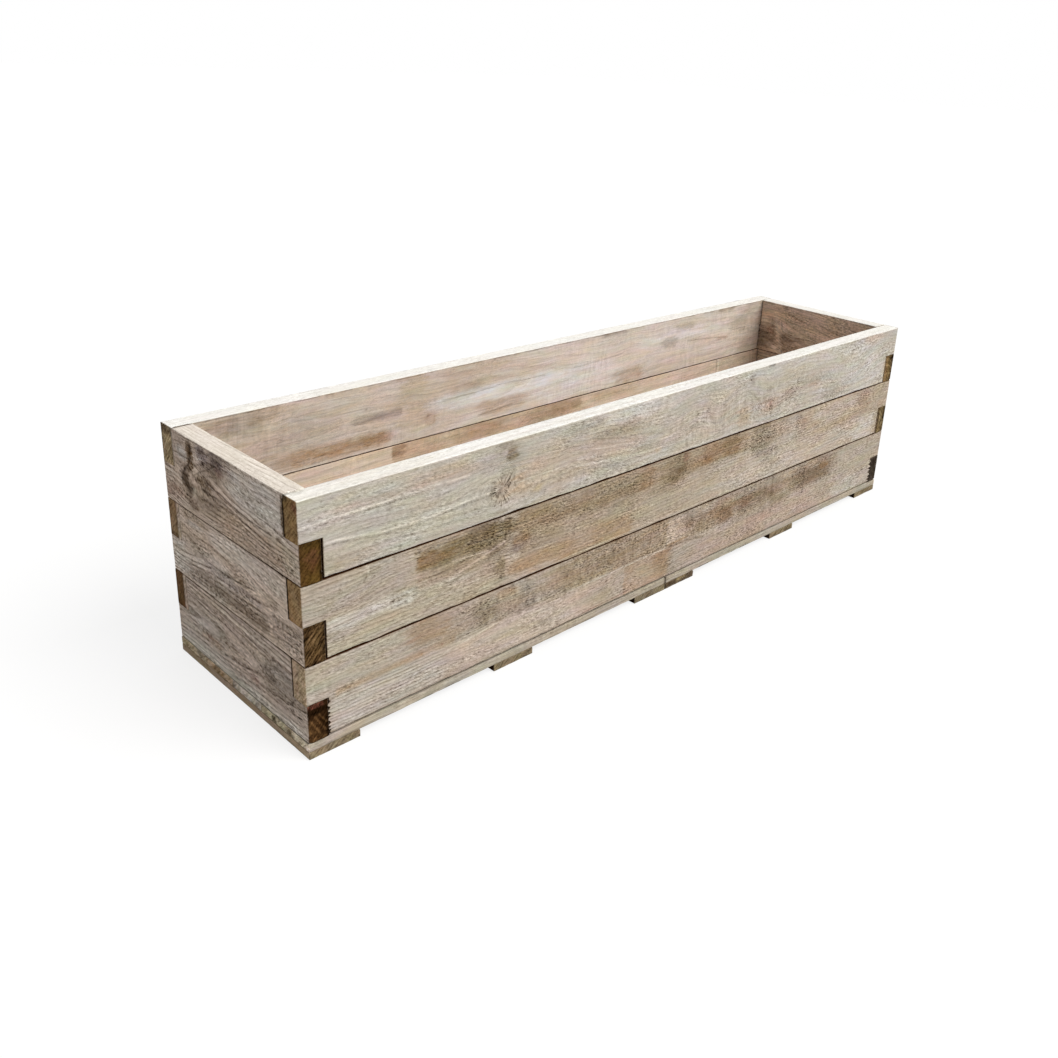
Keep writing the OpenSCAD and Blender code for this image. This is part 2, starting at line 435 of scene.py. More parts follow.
BOARDS["front_board_top"] = {
    "seed": 11,
    "rough": (1.1, 0.6),
    "coarser": 0.6,
    "fibres": (0.5, 0.8),
    "ringed": (0.18, 0.0),
    "swirl": 4.5,
    "slant": -1,
    "bends": (
        (700, 360, 130, 34, -0.16), (1180, 380, 50, 24, -0.4), (1010, 360, 45, 30, -0.35),
        (1660, 365, 100, 40, 0.24), (330, 360, 90, 24, 0.06),
    ),
    "saws": ((880, 1330, 296, 384, 80, 60, 24, 12, 0.85), (1500, 1640, 300, 360, 40, 40, 20, 9, 0.6)),
    "heart": (-34.0, 88.0),
    "ring": 8.0,
    "outer": linear("bfb7ab"),
    "ends": (linear("8f7450"), None),
    "gaps": (3.0, 1.0),
    "patches": (
        (-20, 400, 288, 350, 40, 60, 30, 8, 0.5, MOSS), (-20, 330, 392, 440, 40, 80, 20, 8, 0.3, MOSS),
        (50, 300, 396, 409, 40, 60, 8, 5, 0.4, ROSE), (215, 365, 394, 420, 50, 40, 14, 8, 0.45, SAND),
        (365, 402, 383, 412, 14, 14, 10, 6, 0.2, SMOKE), (392, 416, 404, 423, 8, 8, 8, 4, 0.6, MOSS),
        (422, 445, 392, 420, 7, 7, 8, 6, 0.7, OLIVE), (405, 462, 372, 432, 12, 14, 14, 8, 0.25, UMBER),
        (390, 434, 326, 366, 10, 12, 12, 7, 0.34, TAN), (396, 436, 424, 437, 12, 12, 6, 4, 0.35, UMBER),
        (440, 620, 312, 405, 50, 80, 30, 12, 0.45, SAND), (375, 402, 328, 356, 12, 12, 10, 6, 0.35, SMOKE),
        (388, 428, 297, 304, 12, 12, 5, 3, 0.5, UMBER), (440, 470, 330, 365, 14, 20, 12, 6, 0.4, TAN),
        (488, 512, 314, 331, 12, 12, 8, 5, 0.5, STRAW), (600, 905, 403, 440, 40, 60, 12, 8, 0.45, BLEACH),
        (600, 810, 338, 402, 60, 60, 20, 12, 0.45, SAND), (650, 790, 376, 402, 40, 40, 10, 9, 0.26, UMBER),
        (575, 665, 404, 431, 24, 30, 10, 7, 0.35, OLIVE), (832, 852, 313, 327, 8, 8, 7, 4, 0.5, STRAW),
        (860, 1140, 300, 400, 80, 80, 30, 14, 0.28, SAND), (1145, 1168, 400, 423, 10, 12, 8, 5, 0.6, UMBER),
        (1112, 1158, 302, 352, 14, 14, 14, 8, 0.42, TAN),
        (1120, 1330, 395, 425, 30, 60, 14, 9, 0.08, UMBER), (600, 765, 296, 330, 40, 40, 14, 8, 0.4, MOSS),
        (1211, 1238, 429, 440, 6, 6, 4, 2, 0.85, SOOT_AND_SHADE), (1195, 1275, 316, 356, 24, 30, 16, 9, 0.42, TAN),
        (1480, 1620, 300, 325, 40, 50, 12, 9, 0.22, UMBER), (1215, 1241, 368, 382, 8, 8, 6, 4, 0.45, SMOKE),
        (1298, 1334, 337, 362, 10, 10, 8, 5, 0.5, UMBER), (1388, 1442, 348, 364, 14, 14, 7, 5, 0.35, TAN),
        (1250, 1420, 300, 420, 60, 60, 30, 14, 0.28, SAND),
        (1540, 1755, 296, 425, 80, 60, 30, 12, 0.4, BLEACH),
        (1632, 1728, 417, 440, 14, 20, 8, 5, 0.45, ROSE), (1752, 1768, 298, 362, 8, 8, 10, 4, 0.45, STRAW),
        ("rim", 18, 32, 30, 44, 4, 4, 4, 2, 0.3, STRAW), ("rim", 0, 22, 34, 45, 4, 6, 4, 2, 0.6, UMBER),
        ("start", 35, 48, 350, 440, 4, 4, 4, 3, 0.85, SOOT_AND_SHADE),
        ("start", 26, 48, 424, 442, 6, 4, 5, 3, 0.9, BARK),
        ("start", -4, 14, 412, 440, 4, 8, 8, 5, 0.6, WINE),
        ("start", 8, 26, 364, 386, 8, 8, 8, 5, 0.5, RUST),
        ("rim", -10, 260, -5, 50, 80, 120, 12, 10, 0.35, CREAM),
        (1130, 1560, 396, 440, 50, 50, 12, 8, 0.3, BLEACH), (30, 150, 300, 322, 20, 40, 8, 5, 0.35, DUN),
        (560, 850, 318, 342, 50, 50, 10, 7, 0.28, DUN),
    ),
    "lines": (
        (((0, 389), (120, 391), (250, 393), (335, 392)), 3.6, 0.8, CREAM),
        (((0, 384), (120, 386), (250, 388), (335, 387)), 3.2, 0.4, SMOKE),
        (((50, 353), (100, 347), (160, 340), (260, 339), (330, 344), (402, 347)), 3.6, 0.8, CREAM),
        (((50, 348), (100, 342), (160, 335), (260, 334), (330, 339), (402, 342)), 3.2, 0.4, SMOKE),
        # Painted highlight: a pale line along the lower arris, just above the seam
        (((900, 297), (1300, 297), (1755, 297)), 2.8, 0.5, CREAM),
        (((560, 400), (620, 391), (700, 377), (780, 356)), 2.6, 0.4, SMOKE),
        (((560, 388), (640, 377), (740, 357), (830, 341)), 2.6, 0.35, SMOKE),
        (((440, 330), (520, 336), (600, 334)), 2.6, 0.35, SMOKE),
        (((440, 348), (500, 351), (572, 350)), 2.2, 0.6, CREAM),
        (((100, 357), (180, 353), (260, 351), (350, 355)), 1.9, 0.3, SMOKE),
        (((110, 363), (200, 359), (300, 358), (355, 362)), 1.9, 0.3, SMOKE),
        (((130, 369), (220, 365), (325, 365)), 1.9, 0.26, SMOKE),
        (((160, 375), (240, 372), (325, 373)), 1.9, 0.22, SMOKE),
        (((415, 349), (424, 359), (432, 370)), 2.4, 0.6, BARK),
        (((424, 345), (434, 355), (441, 364)), 2.4, 0.5, BARK),
        (((600, 342), (700, 331), (800, 323), (855, 323)), 3.2, 0.7, CREAM),
        (((600, 356), (680, 347), (765, 336)), 3.0, 0.6, CREAM),
        (((640, 366), (740, 357), (830, 342), (880, 339)), 2.0, 0.4, CREAM),
        (((620, 349), (720, 339), (850, 330)), 2.0, 0.3, SMOKE),
        (((750, 371), (800, 363), (852, 351)), 2.2, 0.4, SMOKE),
        (((980, 385), (1005, 360), (1030, 330)), 3.0, 0.35, SMOKE),
        (((1140, 388), (1165, 372), (1196, 350)), 2.0, 0.6, UMBER),
        (((1720, 395), (1735, 389), (1752, 380)), 2.4, 0.4, SMOKE),
        (((1200, 330), (1216, 340), (1230, 345)), 2.0, 0.4, UMBER),
        ("rim", ((200, 12), (520, 16), (900, 13)), 2.0, 0.25, SAND),
        ("rim", ((700, 27), (1100, 24), (1500, 28)), 2.0, 0.25, SAND),
    ),
    "dots": (
        (393, 318, 3.0, 0.7, UMBER), (399, 312, 2.8, 0.6, UMBER), (43, 424, 3.2, 0.6, UMBER),
        (55, 420, 3.0, 0.4, ROSE), (65, 347, 2.6, 0.5, SMOKE), (350, 324, 2.8, 0.5, SMOKE),
        (222, 432, 3.0, 0.55, UMBER), (60, 434, 3.0, 0.5, OLIVE), (783, 350, 3.0, 0.6, UMBER),
        (530, 428, 3.0, 0.5, UMBER), (541, 431, 3.0, 0.5, UMBER), (1132, 399, 3.4, 0.6, UMBER),
        (1700, 405, 3.0, 0.4, SMOKE), (382, 396, 3.0, 0.5, UMBER), (391, 388, 2.8, 0.5, UMBER),
        (384, 341, 2.8, 0.5, UMBER), (392, 350, 2.8, 0.5, UMBER), (410, 356, 3.4, 0.5, RUST),
    ),
    "knots": ((411, 345, 9.0, 0.15, WINE), (1235, 340, 6.0, 0.5, WINE)),
    "ridges": ((60, 380, 320, 380, 40, 60, 20, 8, 0.35),),
}

BOARDS["front_board_middle"] = {
    "seed": 12,
    "rough": (1.4, 0.6),
    "coarser": 0.45,
    "fibres": (0.85, 0.8),
    "ringed": (0.3, 0.0),
    "gouged": (0.8, 0.0),
    "swirl": 4.0,
    "slant": -1,
    "bends": (
        (110, 240, 80, 22, 0.13), (120, 200, 90, 14, 0.05), (520, 180, 120, 24, -0.03),
        (760, 170, 70, 24, -0.1),
    ),
    "heart": (-70.0, 62.0),
    "lean": (0.006, 0.0),
    "ring": 6.5,
    "outer": linear("b5a693"),
    "ends": (linear("a0825f"), None),
    "gaps": (2.2, 1.0),
    "patches": (
        (-20, 330, 140, 292, 20, 120, 20, 8, 0.22, MOSS), (-20, 216, 214, 296, 20, 25, 20, 6, 0.7, ASH),
        (40, 222, 187, 216, 30, 20, 8, 3, 0.45, BLEACH), (-20, 400, 140, 190, 20, 90, 20, 6, 0.35, MOSS),
        (221, 432, 238, 288, 7, 30, 14, 8, 0.85, OLIVE), (325, 406, 254, 290, 25, 25, 12, 6, 0.55, UMBER),
        (222, 304, 244, 271, 7, 40, 12, 7, 0.5, RUST), (222, 306, 276, 294, 4, 40, 8, 4, 0.55, ASH),
        (418, 443, 243, 287, 5, 12, 10, 5, 0.65, UMBER), (222, 330, 205, 238, 4, 60, 10, 5, 0.35, ROSE),
        (378, 413, 221, 239, 10, 10, 8, 4, 0.55, UMBER), (430, 800, 144, 292, 40, 60, 10, 8, 0.3, DUN),
        (426, 460, 190, 240, 10, 10, 12, 6, 0.3, BLEACH), (440, 460, 205, 224, 6, 8, 6, 4, 0.35, PLUM),
        (438, 484, 221, 241, 8, 14, 8, 4, 0.55, RUST), (372, 421, 186, 214, 18, 3, 9, 5, 0.38, OLIVE),
        (396, 421, 162, 208, 14, 3, 12, 5, 0.5, OLIVE), (422, 453, 178, 207, 4, 12, 10, 4, 0.3, ROSE),
        (440, 606, 238, 290, 15, 30, 14, 8, 0.62, DUN), (430, 615, 148, 193, 30, 30, 14, 6, 0.45, TAN),
        (590, 1345, 236, 292, 50, 70, 18, 10, 0.5, DUN), (600, 800, 240, 288, 40, 30, 14, 10, 0.3, OLIVE),
        (640, 772, 150, 200, 40, 14, 14, 8, 0.42, TAN), (712, 749, 223, 232, 16, 16, 5, 2, 0.55, SMOKE),
        (786, 834, 236, 290, 14, 14, 12, 8, 0.4, RUST), (860, 952, 223, 290, 22, 24, 14, 10, 0.45, OLIVE),
        (878, 938, 228, 262, 16, 18, 10, 8, 0.5, UMBER), (928, 948, 268, 288, 7, 8, 7, 3, 0.45, WINE),
        (822, 940, 210, 234, 26, 34, 8, 6, 0.45, OLIVE), (940, 1030, 240, 268, 26, 26, 10, 7, 0.4, RUST),
        (1000, 1136, 240, 290, 34, 16, 14, 9, 0.45, RUST),
        (1060, 1134, 243, 289, 30, 18, 14, 8, 0.35, OLIVE), (950, 1158, 217, 242, 40, 40, 9, 6, 0.4, ASH),
        (1130, 1330, 240, 290, 40, 60, 14, 9, 0.14, TAN), (1177, 1264, 216, 293, 6, 30, 14, 10, 0.5, OLIVE),
        (1185, 1250, 225, 290, 12, 30, 14, 10, 0.3, UMBER),
        (1196, 1312, 208, 228, 20, 50, 7, 5, 0.5, UMBER), (1357, 1376, 249, 286, 7, 7, 10, 5, 0.6, UMBER),
        (1374, 1404, 237, 272, 8, 8, 10, 4, 0.35, WINE), (1560, 1615, 211, 234, 14, 14, 7, 5, 0.38, STRAW),
        (1500, 1560, 206, 232, 30, 20, 8, 5, 0.2, OLIVE), (1638, 1704, 254, 290, 14, 14, 12, 7, 0.42, WINE),
        (1616, 1700, 214, 264, 24, 18, 12, 8, 0.28, OLIVE),
        (1320, 1740, 150, 290, 80, 60, 30, 10, 0.26, ROSE),
        (1640, 1744, 145, 216, 20, 14, 20, 8, 0.35, BLEACH), (1752, 1790, 222, 242, 8, 8, 8, 4, 0.3, STRAW),
        (1050, 1740, 148, 212, 60, 30, 18, 9, 0.28, BLEACH),
        (440, 560, 142, 162, 24, 24, 6, 4, 0.34, BLEACH),
        (1150, 1380, 212, 286, 30, 40, 14, 9, 0.2, BLEACH),
        (1440, 1650, 240, 286, 30, 40, 14, 9, 0.25, BLEACH),
        (240, 450, 212, 252, 20, 16, 12, 8, 0.34, UMBER), (430, 560, 202, 230, 20, 40, 8, 5, 0.3, UMBER),
        (540, 780, 262, 292, 40, 40, 12, 7, 0.3, ASH),
    ),
    "lines": (
        # Painted highlight: a pale line along the lower arris, just above the seam
        (((560, 152), (1200, 152), (1755, 152)), 2.6, 0.4, CREAM),
        (((290, 205), (340, 218), (390, 232), (420, 238)), 4.0, 0.55, PINK),
        (((300, 198), (350, 211), (400, 224), (421, 229)), 3.4, 0.4, UMBER),
        (((440, 240), (500, 252), (580, 262)), 2.8, 0.4, UMBER),
        (((440, 230), (520, 241), (600, 250)), 2.8, 0.35, UMBER),
        (((300, 237), (340, 235), (378, 234)), 4.0, 0.6, PINK),
        (((220, 222), (262, 224), (300, 227), (330, 232), (364, 230)), 3.0, 0.6, UMBER),
        (((42, 193), (130, 196), (222, 203)), 2.6, 0.35, BLEACH),
        (((42, 204), (140, 208), (222, 214)), 2.6, 0.35, BLEACH),
        (((42, 198), (130, 202), (222, 208)), 2.0, 0.35, SMOKE),
        (((42, 187), (130, 190), (222, 196)), 2.0, 0.3, SMOKE),
        (((0, 226), (80, 232), (150, 243), (220, 252)), 2.0, 0.35, SMOKE),
        (((0, 236), (80, 243), (150, 255), (220, 262)), 2.0, 0.3, SMOKE),
        (((0, 248), (80, 254), (120, 262)), 2.0, 0.3, SMOKE),
        (((119, 291), (126, 284), (124, 276)), 2.4, 0.85, CREAM),
        (((117, 262), (121, 272)), 2.4, 0.5, UMBER),
        (((600, 229), (650, 235), (684, 240)), 2.2, 0.5, SMOKE),
        (((600, 247), (650, 244), (684, 240)), 2.2, 0.45, SMOKE),
        (((822, 238), (824, 260)), 2.8, 0.7, UMBER),
        (((1119, 254), (1135, 268), (1147, 282)), 3.0, 0.6, UMBER),
        (((1452, 232), (1474, 232)), 2.2, 0.45, SMOKE),
        (((1715, 282), (1718, 268), (1723, 253)), 2.2, 0.75, UMBER),
        (((1692, 245), (1716, 246), (1738, 244)), 2.4, 0.65, WINE),
        (((440, 262), (520, 266), (600, 262)), 2.0, 0.35, UMBER),
        (((450, 252), (530, 256), (600, 251)), 2.0, 0.35, UMBER),
        (((450, 274), (530, 277), (600, 274)), 2.0, 0.35, UMBER),
        (((1178, 262), (1200, 254), (1226, 258), (1262, 246)), 3.0, 0.5, UMBER),
        (((1180, 243), (1204, 238), (1240, 240)), 3.0, 0.45, UMBER),
        (((600, 214), (720, 209), (830, 206)), 2.2, 0.3, SMOKE),
        (((1150, 206), (1300, 196), (1450, 190)), 2.2, 0.3, SMOKE),
    ),
    "dots": (
        (120, 268, 3.0, 0.55, UMBER), (130, 275, 3.0, 0.55, UMBER), (136, 265, 3.0, 0.45, UMBER),
        (1603, 224, 3.4, 0.75, UMBER), (1720, 225, 3.2, 0.7, UMBER), (1712, 235, 3.6, 0.6, CREAM),
        (940, 262, 3.2, 0.5, WINE), (1040, 258, 3.2, 0.5, UMBER), (1075, 270, 3.2, 0.5, UMBER),
    ),
    "ridges": ((-20, 222, 150, 250, 20, 20, 14, 6, 0.55), (445, 600, 240, 285, 20, 20, 12, 6, 0.4)),
}

BOARDS["front_board_bottom"] = {
    "seed": 13,
    "rough": (1.45, 0.6),
    "coarser": 0.4,
    "fibres": (0.75, 1.0),
    "ringed": (0.15, 0.0),
    "gouged": (0.8, 0.0),
    "swirl": 3.5,
    "slant": -1,
    "bends": ((370, 95, 50, 20, 0.12), (840, 50, 60, 18, -0.15)),
    "saws": (
        (400, 893, 76, 150, 60, 4, 12, 6, 1.0), (893, 1640, 64, 150, 8, 80, 16, 8, 0.85),
        (1090, 1300, 0, 80, 30, 50, 14, 8, 0.6),
    ),
    "heart": (-150.0, 34.0),
    "ring": 6.5,
    "outer": linear("b2a495"),
    "ends": (linear("bea689"), None),
    "gaps": (1.5, 1.2),
    "patches": (
        (-20, 330, 0, 150, 20, 120, 20, 8, 0.25, ASH), (-20, 206, 84, 150, 20, 20, 20, 8, 0.5, MOSS),
        (198, 290, 100, 148, 20, 30, 14, 7, 0.45, TAN), (206, 345, 84, 146, 20, 20, 14, 8, 0.3, DUN),
        (345, 406, 84, 134, 20, 20, 14, 8, 0.6, OLIVE), (398, 470, 80, 124, 14, 14, 12, 6, 0.4, DUN),
        (464, 505, 76, 128, 10, 10, 12, 6, 0.6, SMOKE), (505, 600, 80, 140, 20, 30, 14, 8, 0.35, DUN),
        (400, 454, 122, 139, 10, 14, 7, 4, 0.55, TAN), (40, 287, 0, 72, 20, 40, 14, 5, 0.32, BLEACH),
        (287, 660, 0, 72, 40, 60, 20, 8, 0.35, PINK), (560, 893, 75, 150, 50, 3, 10, 8, 0.62, DUN),
        (670, 754, 92, 128, 30, 30, 12, 8, 0.3, OLIVE), (758, 905, 2, 72, 5, 14, 12, 5, 0.4, TAN),
        (846, 920, 28, 75, 24, 8, 10, 6, 0.42, RUST), (868, 906, 0, 42, 16, 6, 10, 5, 0.35, DUN),
        (893, 1562, 76, 150, 3, 60, 16, 12, 0.55, DUN), (894, 966, 82, 138, 2, 12, 6, 3, 0.34, PINK),
        (905, 1110, 2, 62, 10, 60, 10, 4, 0.35, ASH), (952, 982, 100, 143, 10, 12, 10, 7, 0.4, UMBER),
        (990, 1034, 86, 128, 14, 14, 10, 8, 0.4, UMBER), (1046, 1130, 80, 141, 22, 22, 14, 10, 0.45, RUST),
        (1076, 1128, 76, 110, 14, 16, 10, 8, 0.35, CHESTNUT),
        (1138, 1318, 84, 149, 34, 34, 14, 10, 0.42, UMBER),
        (1150, 1210, 91, 125, 18, 18, 12, 8, 0.32, WINE), (1108, 1280, 0, 74, 34, 50, 20, 10, 0.3, DUN),
        (1276, 1352, 56, 82, 20, 22, 8, 6, 0.42, OLIVE), (1366, 1566, 78, 144, 44, 50, 14, 10, 0.42, UMBER),
        (1408, 1532, 84, 122, 18, 24, 12, 9, 0.34, UMBER), (1492, 1536, 107, 136, 12, 14, 9, 6, 0.5, RUST),
        (1370, 1490, 124, 144, 24, 24, 7, 5, 0.35, RUST), (1000, 1600, 0, 62, 60, 60, 20, 8, 0.42, ROSE),
        (940, 1560, 122, 148, 60, 50, 10, 7, 0.2, BLEACH), (1560, 1765, 0, 50, 50, 20, 14, 8, 0.32, BLEACH),
        (1556, 1790, 0, 140, 50, 10, 20, 8, 0.3, MOSS),
    ),
    "lines": (
        (((60, 77), (110, 76), (180, 77), (300, 82)), 13.0, 0.42, TAN),
        (((404, 80), (406, 126)), 5.0, 0.5, SMOKE),
        (((285, 77), (400, 79), (500, 79), (608, 79)), 2.2, 0.5, UMBER),
        (((280, 60), (340, 67), (404, 75)), 3.0, 0.5, CREAM),
        # Painted shade: a dark line along the foot of the board, over the gap to the deck
        (((0, 3), (600, 3), (1200, 3), (1800, 3)), 3.0, 0.45, UMBER),
        (((838, 103), (839, 132)), 3.6, 0.55, UMBER), (((600, 73), (760, 74), (890, 75)), 2.6, 0.55, CREAM),
        (((640, 8), (770, 10)), 4.0, 0.4, WINE), (((868, 59), (880, 51), (893, 46)), 2.4, 0.55, UMBER),
        (((893, 79), (966, 80)), 3.0, 0.65, RUST), (((895, 75), (960, 71), (1024, 63)), 5.0, 0.5, UMBER),
        (((895, 30), (906, 46), (918, 61)), 2.2, 0.45, SMOKE), (((922, 55), (1100, 52)), 2.4, 0.4, SMOKE),
        (((915, 43), (1110, 39)), 2.4, 0.4, SMOKE), (((908, 30), (1110, 26)), 2.4, 0.4, SMOKE),
        (((903, 17), (1090, 14)), 2.4, 0.4, SMOKE), (((1285, 93), (1286, 142)), 4.6, 0.55, UMBER),
        (((1425, 62), (1424, 123)), 4.2, 0.6, BARK), (((690, 90), (692, 130)), 3.0, 0.35, UMBER),
        (((722, 88), (723, 126)), 3.0, 0.35, UMBER), (((1010, 92), (1011, 128)), 3.0, 0.4, UMBER),
    ),
    "dots": (
        (230, 78, 4.4, 0.7, RUST), (275, 80, 3.4, 0.6, WINE), (450, 92, 3.4, 0.7, UMBER),
        (433, 63, 3.0, 0.55, UMBER), (439, 66, 3.0, 0.55, UMBER), (640, 105, 3.6, 0.6, UMBER),
        (1775, 100, 3.4, 0.7, UMBER), (80, 77, 4.0, 0.5, RUST),
    ),
    "ridges": ((36, 290, 0, 72, 8, 40, 8, 4, 1.0), (905, 1004, 2, 62, 8, 20, 10, 4, 0.7)),
    "torn": (("start", 4, 70, 9.5, 10.0), ("finish", 2, 68, 12.0, 17.0)),
}

BOARDS["left_end_board_top"] = {
    "seed": 14,
    "seam": (0.08, 0.5),
    "rough": (1.9, 0.6),
    "fibres": (1.15, 1.5),
    "gouged": (1.0, 0.0),
    "tinted": (0.45, 1.0),
    "crest": 0.85,
    "heart": (98.0, 58.0),
    "lean": (-0.05, -0.045),
    "wander": 2.0,
    "ring": 5.6,
    "outer": linear("d0bcab"),
    "rim": linear("e7ddd1"),
    "ends": (None, linear("56401e")),
    "gaps": (1.5, 3.2),
    "patches": (
        ("rim", 36, 45, -9, 49, 1.2, 2.4, 4, 1, 0.9, BARK), (38, 90, 372, 432, 14, 14, 12, 8, 0.35, PLUM),
        (56, 92, 386, 412, 10, 10, 8, 4, 0.5, BLEACH), (64, 96, 334, 364, 6, 8, 10, 6, 0.95, BARK),
        (72, 104, 346, 376, 8, 8, 10, 6, 0.75, UMBER), (84, 110, 326, 346, 7, 7, 8, 5, 0.85, BARK),
        (72, 100, 312, 334, 8, 8, 8, 5, 0.6, UMBER), (88, 122, 300, 322, 10, 10, 8, 5, 0.75, CHESTNUT),
        (93, 116, 374, 430, 6, 6, 8, 6, 0.9, UMBER), (100, 112, 392, 424, 5, 5, 8, 4, 0.5, BARK),
        (104, 136, 342, 366, 8, 8, 8, 4, 0.6, ROSE), (106, 124, 332, 346, 6, 6, 6, 3, 0.5, MOSS),
        (128, 184, 360, 378, 10, 12, 6, 4, 0.85, UMBER), (140, 215, 380, 412, 14, 12, 12, 7, 0.55, UMBER),
        (130, 170, 410, 434, 10, 10, 8, 6, 0.7, PLUM), (138, 160, 416, 430, 6, 6, 6, 4, 0.6, UMBER),
        (146, 156, 397, 407, 4, 4, 4, 2, 0.8, UMBER), (172, 226, 408, 428, 12, 12, 9, 6, 0.75, BARK),
        (180, 250, 427, 438, 8, 14, 5, 3, 0.6, BARK), (196, 222, 394, 410, 8, 8, 6, 4, 0.4, WINE),
        (-10, 70, 296, 328, 10, 30, 14, 8, 0.45, WINE), (236, 404, 368, 430, 40, 20, 20, 6, 0.55, BLEACH),
        (310, 450, 368, 436, 30, 14, 14, 8, 0.32, BLEACH),
        (250, 450, 342, 400, 50, 14, 16, 9, 0.26, BLEACH),
        (250, 450, 288, 336, 50, 14, 14, 8, 0.28, BLEACH), (120, 260, 396, 434, 14, 24, 12, 8, 0.34, PLUM),
        (190, 450, 292, 344, 60, 30, 20, 10, 0.4, TAN), (120, 200, 300, 350, 30, 40, 16, 8, 0.35, OLIVE),
        (116, 214, 322, 372, 14, 28, 14, 9, 0.42, UMBER), (384, 402, 347, 356, 6, 8, 4, 2, 0.8, UMBER),
        (402, 450, 300, 350, 10, 10, 14, 6, 0.4, MOSS), (402, 409, 364, 434, 3, 3, 4, 3, 0.9, UMBER),
        ("in", 60, 400, 320, 430, 80, 80, 30, 14, 0.4, DUN),
        ("finish", 35, 46, 286, 362, 3, 3, 4, 3, 0.8, INK),
        ("finish", -4, 14, 286, 362, 4, 8, 8, 5, 0.35, CHESTNUT),
        ("finish", 14, 34, 312, 350, 8, 8, 12, 5, 0.35, WINE),
        ("finish", -4, 40, 355, 366, 3, 3, 4, 2, 0.4, INK),
    ),
    "lines": (
        (((0, 357), (36, 356), (66, 352)), 2.4, 0.5, BARK),
        (((4, 348), (40, 347), (66, 344)), 2.4, 0.6, BARK),
        (((4, 352), (40, 351), (66, 348)), 2.0, 0.5, BLEACH),
        (((4, 339), (40, 338), (68, 334)), 2.4, 0.6, BARK),
        (((4, 343), (40, 342), (66, 339)), 2.0, 0.5, BLEACH),
        (((8, 331), (40, 330), (70, 326)), 2.4, 0.5, BARK),
        (((8, 335), (40, 334), (66, 330)), 2.0, 0.4, PINK),
        (((10, 322), (44, 321), (72, 317)), 2.4, 0.45, CHESTNUT),
        (((38, 374), (56, 372), (70, 366)), 2.4, 0.5, BARK),
        (((38, 384), (60, 382), (80, 376), (96, 382)), 2.4, 0.45, UMBER),
        (((60, 412), (62, 400), (72, 392), (92, 388)), 2.4, 0.5, UMBER),
        (((70, 424), (76, 414), (90, 408)), 2.4, 0.45, UMBER),
        (((76, 366), (84, 374), (96, 382), (104, 396), (108, 424)), 6.0, 0.55, SOOT_AND_SHADE),
        (((98, 332), (92, 345), (82, 356), (80, 366)), 6.0, 0.5, SOOT_AND_SHADE),
        (((118, 372), (140, 384), (170, 398), (196, 412)), 2.6, 0.55, BARK),
        (((112, 382), (132, 394), (152, 402)), 2.6, 0.5, BARK),
        (((120, 408), (134, 404), (146, 410)), 2.6, 0.5, BLEACH),
        (((150, 378), (172, 386), (200, 392)), 2.4, 0.5, BARK),
        (((160, 372), (178, 366), (205, 366), (232, 361), (262, 356), (300, 352), (368, 350)),
         3.2, 0.85, BARK),
        (((168, 366), (206, 361), (240, 355), (300, 347), (360, 345)), 2.2, 0.5, PINK),
        (((140, 352), (160, 349), (186, 353), (214, 352), (262, 345), (300, 338), (376, 329)),
         3.2, 0.8, BARK),
        (((170, 348), (216, 347), (262, 340), (300, 333)), 2.2, 0.45, PINK),
        (((190, 343), (262, 336), (330, 326), (400, 318)), 2.4, 0.5, UMBER),
        (((150, 336), (240, 330), (330, 318), (440, 309)), 2.4, 0.5, UMBER),
        (((150, 326), (240, 320), (330, 310), (440, 303)), 2.4, 0.45, UMBER),
        (((130, 316), (240, 311), (330, 303), (400, 299)), 2.4, 0.4, UMBER),
        (((130, 306), (220, 302), (300, 297)), 2.4, 0.35, UMBER),
        (((288, 430), (300, 420), (340, 415), (400, 414)), 2.4, 0.45, UMBER),
        (((225, 391), (244, 400), (280, 401), (345, 402)), 2.6, 0.5, SMOKE),
        (((222, 390), (240, 382), (258, 373), (300, 369), (350, 367), (404, 360)), 2.6, 0.55, SMOKE),
    ),
    "knots": ((112, 352, 12.0, 0.0, UMBER),),
    "ridges": ((150, 450, 296, 366, 30, 10, 14, 6, 0.35), (0, 70, 296, 366, 10, 10, 14, 6, 0.3)),
}

